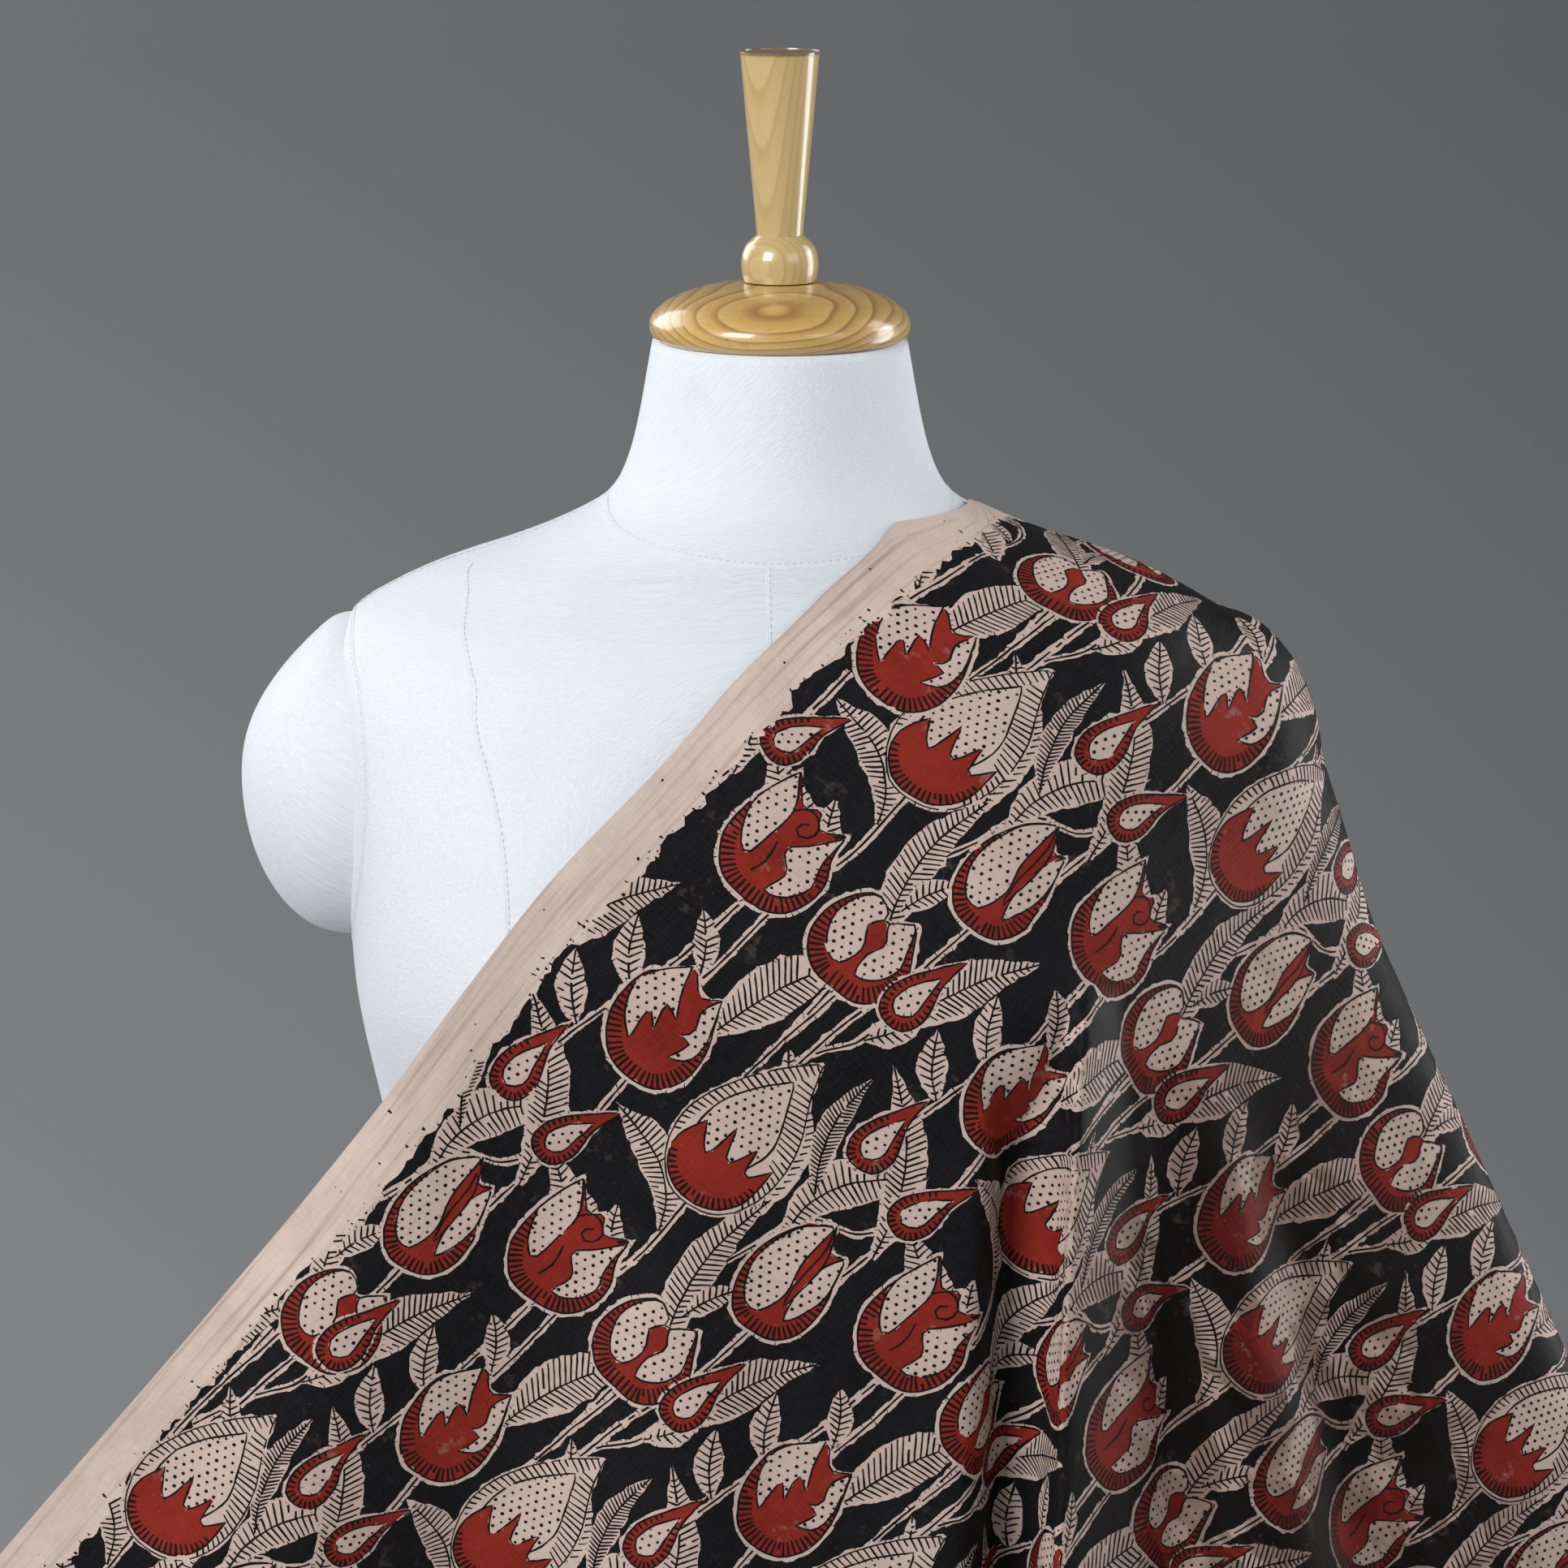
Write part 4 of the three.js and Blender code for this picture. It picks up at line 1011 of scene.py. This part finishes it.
selvages = np.vstack([flat_silk[::-1, 0], flat_silk[0, 1:-1], flat_silk[:, -1]])
cloth_edge = np.vstack([selvages, flat_silk[-1, ::-1][1:-1]])
selvage_line = evenly(selvages, OUTLINE_STEP)
for step in range(12):
    selvage_line[1:-1] = (selvage_line[:-2] + 2 * selvage_line[1:-1] + selvage_line[2:]) / 4
sway = np.convolve(hand.normal(size=len(selvage_line) + 60), np.hanning(61), "valid")
ragged = hand.normal(size=len(selvage_line)) * EDGE_RAGGED + np.convolve(
    hand.normal(size=len(selvage_line) + 4), np.hanning(5), "valid")
band = BAND_WIDE + sway / np.abs(sway).max() * EDGE_SWAY + ragged
inward = -leftward(selvage_line)
print_edge = selvage_line + inward * band[:, None]
# Away from the selvage the printed area runs on past the cloth.
print_area = np.vstack([print_edge[:1] + (0, -300), print_edge, print_edge[-1:] + (500, 300), [(1500, 900)],
                        [(1500, -1500)], [(print_edge[0, 0], -1500)]])

beside_selvage = KDTree(len(selvage_line))
for index, (x, y) in enumerate(selvage_line):
    beside_selvage.insert((x, y, 0), index)
beside_selvage.balance()


def on_band(points):
    """Whether points lie well inside the bare band, which also holds where it turns sharply at the neck."""
    near = [beside_selvage.find((x, y, 0)) for x, y in points]
    return np.array([far < BAND_SURE * band[index] for place, index, far in near])


flat_points = flat_silk.reshape(-1, 2)
hung_points, hung_normals = surface.reshape(-1, 3), surface_normal.reshape(-1, 3)
a, b, c, d = grid_faces(SURFACE_ROWS, SURFACE_COLUMNS).T
hung_corners = np.concatenate([np.stack([a, b, c], axis=1), np.stack([a, c, d], axis=1)])


def finder(points, corners):
    """A way to look up the triangle of a flat sheet over which a point lies."""
    return BVHTree.FromPolygons([(x, y, 0.0) for x, y in points], corners.tolist(), all_triangles=True)


def carried(points, tree, corners, sheet_points, *values):
    """The values at flat points, from those at the corners of the triangles nearest to them."""
    near = [tree.find_nearest((x, y, 0)) for x, y in points]
    tri = corners[[hit[2] for hit in near]]
    on = np.array([hit[0][:2] for hit in near])
    p, q, r = (sheet_points[tri[:, k]] for k in range(3))
    whole = (q - p)[:, 0] * (r - p)[:, 1] - (q - p)[:, 1] * (r - p)[:, 0]
    u = ((on - p)[:, 0] * (r - p)[:, 1] - (on - p)[:, 1] * (r - p)[:, 0]) / whole
    v = ((q - p)[:, 0] * (on - p)[:, 1] - (q - p)[:, 1] * (on - p)[:, 0]) / whole
    share = np.stack([1 - u - v, u, v], axis=1)[:, :, None]
    return [np.sum(value[tri] * share, axis=1) for value in values]


low, high = flat_points.min(axis=0), flat_points.max(axis=0)
printings = []
for row in ROWS:
    for step in STEPS:
        place = moved([row * ACROSS, step * ALONG + row * SHIFT], (0, 0), BLOCK_TURN, BLOCK_SIZE)
        if (place > low - REACH_ON).all() and (place < high + REACH_BACK).all():
            printings.append(place)
areas, fine = [], []  # both in the order in which they are printed
order = 0
for layer in (stems, leaves, *heads):
    for place in printings:
        if layer in heads:
            # A head that the print's edge would cut through stands a little further in, or is left off.
            outline = moved(layer.marks[0][1], place, BLOCK_TURN, BLOCK_SIZE)
            middle = outline.mean(axis=0)
            way = inward[beside_selvage.find((middle[0], middle[1], 0))[1]]
            shares = [within(outline + way * aside, print_area).mean() for aside in SET_IN]
            if shares[0] < HEAD_SEEN or max(shares) < HEAD_WHOLE:
                continue
            place = place + way * next(aside for aside, share in zip(SET_IN, shares) if share >= HEAD_WHOLE)
        for kind, points, value in layer.marks:
            points = moved(points, place, BLOCK_TURN, BLOCK_SIZE)
            order += 1
            inside = (points > low - OFF_CLOTH).all(axis=1) & (points < high + OFF_CLOTH).all(axis=1)
            if not inside.any():
                continue
            if kind == "area":
                points = evenly(points, OUTLINE_STEP, closed=True)
                points = points + hand.normal(size=points.shape) * BLOCK_RAGGED
                if within(points, cloth_edge).any() and within(points, print_area).any():
                    areas.append((order, points, value))
            else:
                fine.append((order, kind, points, value))

# The sheet's points: a lattice, the cloth's edge, the print's edge and the outlines of the areas.
grid_y, grid_x = np.meshgrid(np.arange(low[1], high[1], LATTICE * 0.866),
                             np.arange(low[0], high[0], LATTICE), indexing="ij")
grid_x[1::2] += LATTICE / 2
lattice = np.stack([grid_x.ravel(), grid_y.ravel()], axis=1)
lattice = lattice[within(lattice, cloth_edge)]
points, lines = [lattice], []
count = len(lattice)
for outline, closed in [(evenly(cloth_edge, CLOTH_EDGE_STEP, closed=True), True), (print_edge, False)] + [
        (outline, True) for order, outline, value in areas]:
    points.append(outline)
    index = np.arange(len(outline)) + count
    lines.append(np.stack([index, np.roll(index, -1)], axis=1)[: None if closed else -1])
    count += len(outline)
points, lines = np.vstack(points), np.vstack(lines)
# Outlines that a later area covers, or that lie off the print, are left out.
first = own = count - sum(len(outline) for order, outline, value in areas)
hidden = np.zeros(count, bool)
hidden[first:] = ~(within(points[first:], cloth_edge) & within(points[first:], print_area))
for order, outline, value in areas:
    hidden[first:own] |= within(points[first:own], outline)
    own += len(outline)
lines = lines[~hidden[lines].all(axis=1)]
kept = np.union1d(np.arange(len(lattice)), lines)
place_of = np.zeros(count, int)
place_of[kept] = np.arange(len(kept))
cut = delaunay_2d_cdt([Vector(p) for p in points[kept]], place_of[lines].tolist(), [], 0, 1e-4, False)
sheet_points = np.array([tuple(p) for p in cut[0]])
sheet_corners = np.array(cut[2])
middles = sheet_points[sheet_corners].mean(axis=1)
sheet_corners = sheet_corners[within(middles, cloth_edge)]
middles = sheet_points[sheet_corners].mean(axis=1)
p, q, r = (sheet_points[sheet_corners[:, k]] for k in range(3))
size = (q - p)[:, 0] * (r - p)[:, 1] - (q - p)[:, 1] * (r - p)[:, 0]
keep = np.abs(size) > 1e-4
sheet_corners, middles = sheet_corners[keep], middles[keep]
sheet_corners[size[keep] < 0] = sheet_corners[size[keep] < 0][:, ::-1]

colour = np.full(len(sheet_corners), BLACK)
for order, outline, value in areas:
    low_corner, high_corner = outline.min(axis=0), outline.max(axis=0)
    near = np.flatnonzero(((middles >= low_corner) & (middles <= high_corner)).all(axis=1))
    colour[near[within(middles[near], outline)]] = value
colour[~within(middles, print_area) | on_band(middles)] = SELVAGE

used = np.unique(sheet_corners)
renumbered = np.zeros(len(sheet_points), int)
renumbered[used] = np.arange(len(used))
sheet_points, sheet_corners = sheet_points[used], renumbered[sheet_corners]
sheet_hung, sheet_normals = carried(sheet_points, finder(flat_points, hung_corners), hung_corners,
                                    flat_points, hung_points, hung_normals)


# Each fine mark as a small flat polygon, left out where a later area covers it or the block missed.
MISSED = 0.025  # the share of fine marks that didn't take
LINE_STEP = 3.3  # between the points of a fine line
mark_polygons, mark_orders = [], []
for order, kind, points, value in fine:
    if kind == "dots":
        for centre in points:
            radius = value * hand.uniform(0.8, 1.25)
            turn = np.arange(6) / 6 * 2 * math.pi + hand.uniform(0, 1)
            mark_polygons.append(centre + radius * np.stack([np.cos(turn), np.sin(turn)], axis=1))
            mark_orders.append(order)
        continue
    line = evenly(points, LINE_STEP)
    line[1:-1] += hand.normal(size=line[1:-1].shape) * 0.07
    half = leftward(line) * (value / 2 * hand.uniform(0.75, 1.3, len(line)))[:, None]
    half[-1] *= 0.7
    for k in range(len(line) - 1):
        mark_polygons.append(np.array([line[k] - half[k], line[k + 1] - half[k + 1],
                                       line[k + 1] + half[k + 1], line[k] + half[k]]))
        mark_orders.append(order)

# Where the black crept past the block's edge, in short hairs across the bare edges.
CREPT_SHARE, HAIR_LONGEST = 0.55, 2.2
HAIR_HALF_WIDE = 0.11  # as a share of the step between the outline's points
for order, outline, value in areas:
    if value != BARE:
        continue
    ahead = np.roll(outline, -1, axis=0) - outline
    long = np.maximum(np.hypot(*ahead.T), 0.1)[:, None]
    into = np.stack([-ahead[:, 1], ahead[:, 0]], axis=1) / long
    if np.sum(outline[:, 0] * ahead[:, 1] - outline[:, 1] * ahead[:, 0]) < 0:
        into = -into
    crept = hand.uniform(size=len(outline)) < CREPT_SHARE
    for start, step, way in zip(outline[crept], ahead[crept], into[crept]):
        foot = start + step * hand.uniform(0.1, 0.9) - way * 0.15
        tip = foot + step * hand.normal() * 0.2 + way * min(hand.exponential(0.75) + 0.3, HAIR_LONGEST)
        mark_polygons.append(np.array([foot - step * HAIR_HALF_WIDE, foot + step * HAIR_HALF_WIDE, tip]))
        mark_orders.append(order)

# Flecks of black on the bare band beside the print.
FLECKS = 520
ON_BAND = 10**9  # the order of a fleck, which is after all the areas
for fleck in range(FLECKS):
    k = int(hand.uniform(0, len(selvage_line) - 1))
    share = max(0.2, 1 - hand.exponential(0.07 if fleck % 4 else 0.3))
    centre = selvage_line[k] + inward[k] * band[k] * share
    turn = np.sort(hand.uniform(0, 2 * math.pi, 6))
    mark_polygons.append(centre + hand.uniform(0.2, 0.75) * np.stack(
        [np.cos(turn) * hand.uniform(0.6, 2), np.sin(turn)], axis=1))
    mark_orders.append(ON_BAND)

mark_orders = np.array(mark_orders)
mark_middles = np.array([polygon.mean(axis=0) for polygon in mark_polygons])
on_print = within(mark_middles, print_area) & ~on_band(mark_middles)
on_print = within(mark_middles, cloth_edge) & (on_print | (mark_orders == ON_BAND))
shown = on_print & (hand.uniform(size=len(mark_orders)) > MISSED)
for order, outline, value in areas:
    near = (mark_middles >= outline.min(axis=0)) & (mark_middles <= outline.max(axis=0))
    near = np.flatnonzero(shown & (mark_orders < order) & near.all(axis=1))
    shown[near[within(mark_middles[near], outline)]] = False
mark_polygons = [polygon for polygon, keep in zip(mark_polygons, shown) if keep]

mark_ends = np.cumsum([len(polygon) for polygon in mark_polygons])
mark_faces = np.split(np.arange(mark_ends[-1]), mark_ends[:-1])
mark_hung, mark_normals, mark_flat = carried(
    np.vstack(mark_polygons), finder(sheet_points, sheet_corners), sheet_corners, sheet_points, sheet_hung,
    sheet_normals, sheet_points)


def printed(name, colour, tint, roughness, worn, grain, painted_shade_and_show_through=None, streaks=0.0):
    """Silk with its woven threads and a printed colour that took unevenly, its highest threads painted
    lighter as a painted highlight. A further colour, if given, is painted where another layer of the cloth
    hangs close behind it, as painted shade and a painted show-through of that layer; streaks are faint dark
    lines along its length, painted shade of fine creases, with smudges."""
    made = Finish(name, roughness, Specular_IOR_Level=0.07)
    place, threads = weave(made, 0.00067, 0.009)
    cloud = made.between(made.noise(place, 34, 4, 0.6), 0.3, 0.75)
    fleck = made.between(made.noise(place, 620, 4, 0.65), 0.66, 0.74)
    patch = made.between(made.noise(place, 60, 5, 0.7), 0.60, 0.72)
    base = made.mix(cloud, colour, tint)
    # Where its threads stand highest the colour is painted lighter: a painted highlight on the weave.
    base = made.mix(made.times(threads, grain), base, tuple(min(1, 0.006 + 1.25 * v) for v in tint))
    if painted_shade_and_show_through:
        # The two layers hang close together from the shoulder out along the fold at the side. There the
        # colour is painted darker on the bare cloth and the red and lighter on the black, in slanting
        # streaks: painted shade and a painted show-through of the layer behind.
        aside = made.sum(made.times(made.part(place, "X"), 0.25), made.part(place, "Y"))
        near = made.between(made.sum(made.sum(aside, 0.015), 0.0, "ABSOLUTE"), 0.125, 0.06)
        near = made.times(near, made.between(made.part(place, "X"), 0.20, 0.29))
        painted_show_through = made.between(made.noise(made.scaled(place, (26, 62, 1), 0.8), 1.0, 3, 0.5, 0.9), 0.45, 0.55)
        base = made.mix(made.times(near, made.sum(made.times(painted_show_through, 0.5), 0.35)), base, painted_shade_and_show_through)
    if streaks:
        # Fine dark lines along the selvage are painted shade of its fine creases; the soft smudges are
        # darker at random.
        painted_crease_shade = made.between(made.noise(made.scaled(place, (300, 9, 1)), 1.0, 4, 0.55), 0.52, 0.72)
        smudge = made.between(made.noise(place, 22, 5, 0.6), 0.5, 0.75)
        base = made.mix(made.times(painted_crease_shade, streaks), base, (0.25, 0.165, 0.12))
        base = made.mix(made.times(smudge, 0.5 * streaks), base, (0.27, 0.20, 0.17))
    wear = made.times(made.sum(made.times(fleck, 0.55), made.times(patch, 0.4), clamp=True), worn)
    creases = made.noise(made.scaled(place, (55, 9, 1)), 1.0, 4)
    made.show(made.sum(made.times(threads, 0.05), creases), 0.0012,
              Base_Color=made.mix(wear, base, (0.40, 0.30, 0.25)),
              Roughness=made.sum(made.times(cloud, 0.12), roughness - 0.06))
    return made


silk_finishes = [
    printed("silk_bare", (0.42, 0.318, 0.278), (0.50, 0.39, 0.342), 0.5, 0.0, 0.3, painted_shade_and_show_through=(0.19, 0.118, 0.09)),
    printed("silk_red", (0.135, 0.010, 0.007), (0.235, 0.022, 0.013), 0.55, 1.0, 0.3,
            painted_shade_and_show_through=(0.075, 0.007, 0.006)),
    printed("silk_black", (0.0032, 0.0031, 0.0038), (0.0068, 0.0062, 0.0072), 0.55, 0.30, 0.6,
            painted_shade_and_show_through=(0.006, 0.0035, 0.0032)),
    printed("silk_selvage", (0.49, 0.385, 0.335), (0.57, 0.46, 0.41), 0.5, 0.0, 0.3, streaks=0.6),
]
silk = new_piece("printed_silk", sheet_hung, sheet_corners, silk_finishes, uv=sheet_points, finish_of=colour,
                 normals=sheet_normals)
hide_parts("silk")

ink = Finish("ink_line", 0.6, Specular_IOR_Level=0.1, Base_Color=(0.006, 0.0055, 0.006, 1))
took = ink.noise(ink.new("UVMap", uv_map="cloth"), 900, 3)
ink.show(took, 0.00005, Roughness=ink.between(took, -0.4, 1.2))
lines_piece = new_piece("black_fine_print", mark_hung + mark_normals * FILM, mark_faces, [ink], uv=mark_flat,
                        normals=mark_normals)

p, q, r = (sheet_points[sheet_corners[:, k]] for k in range(3))
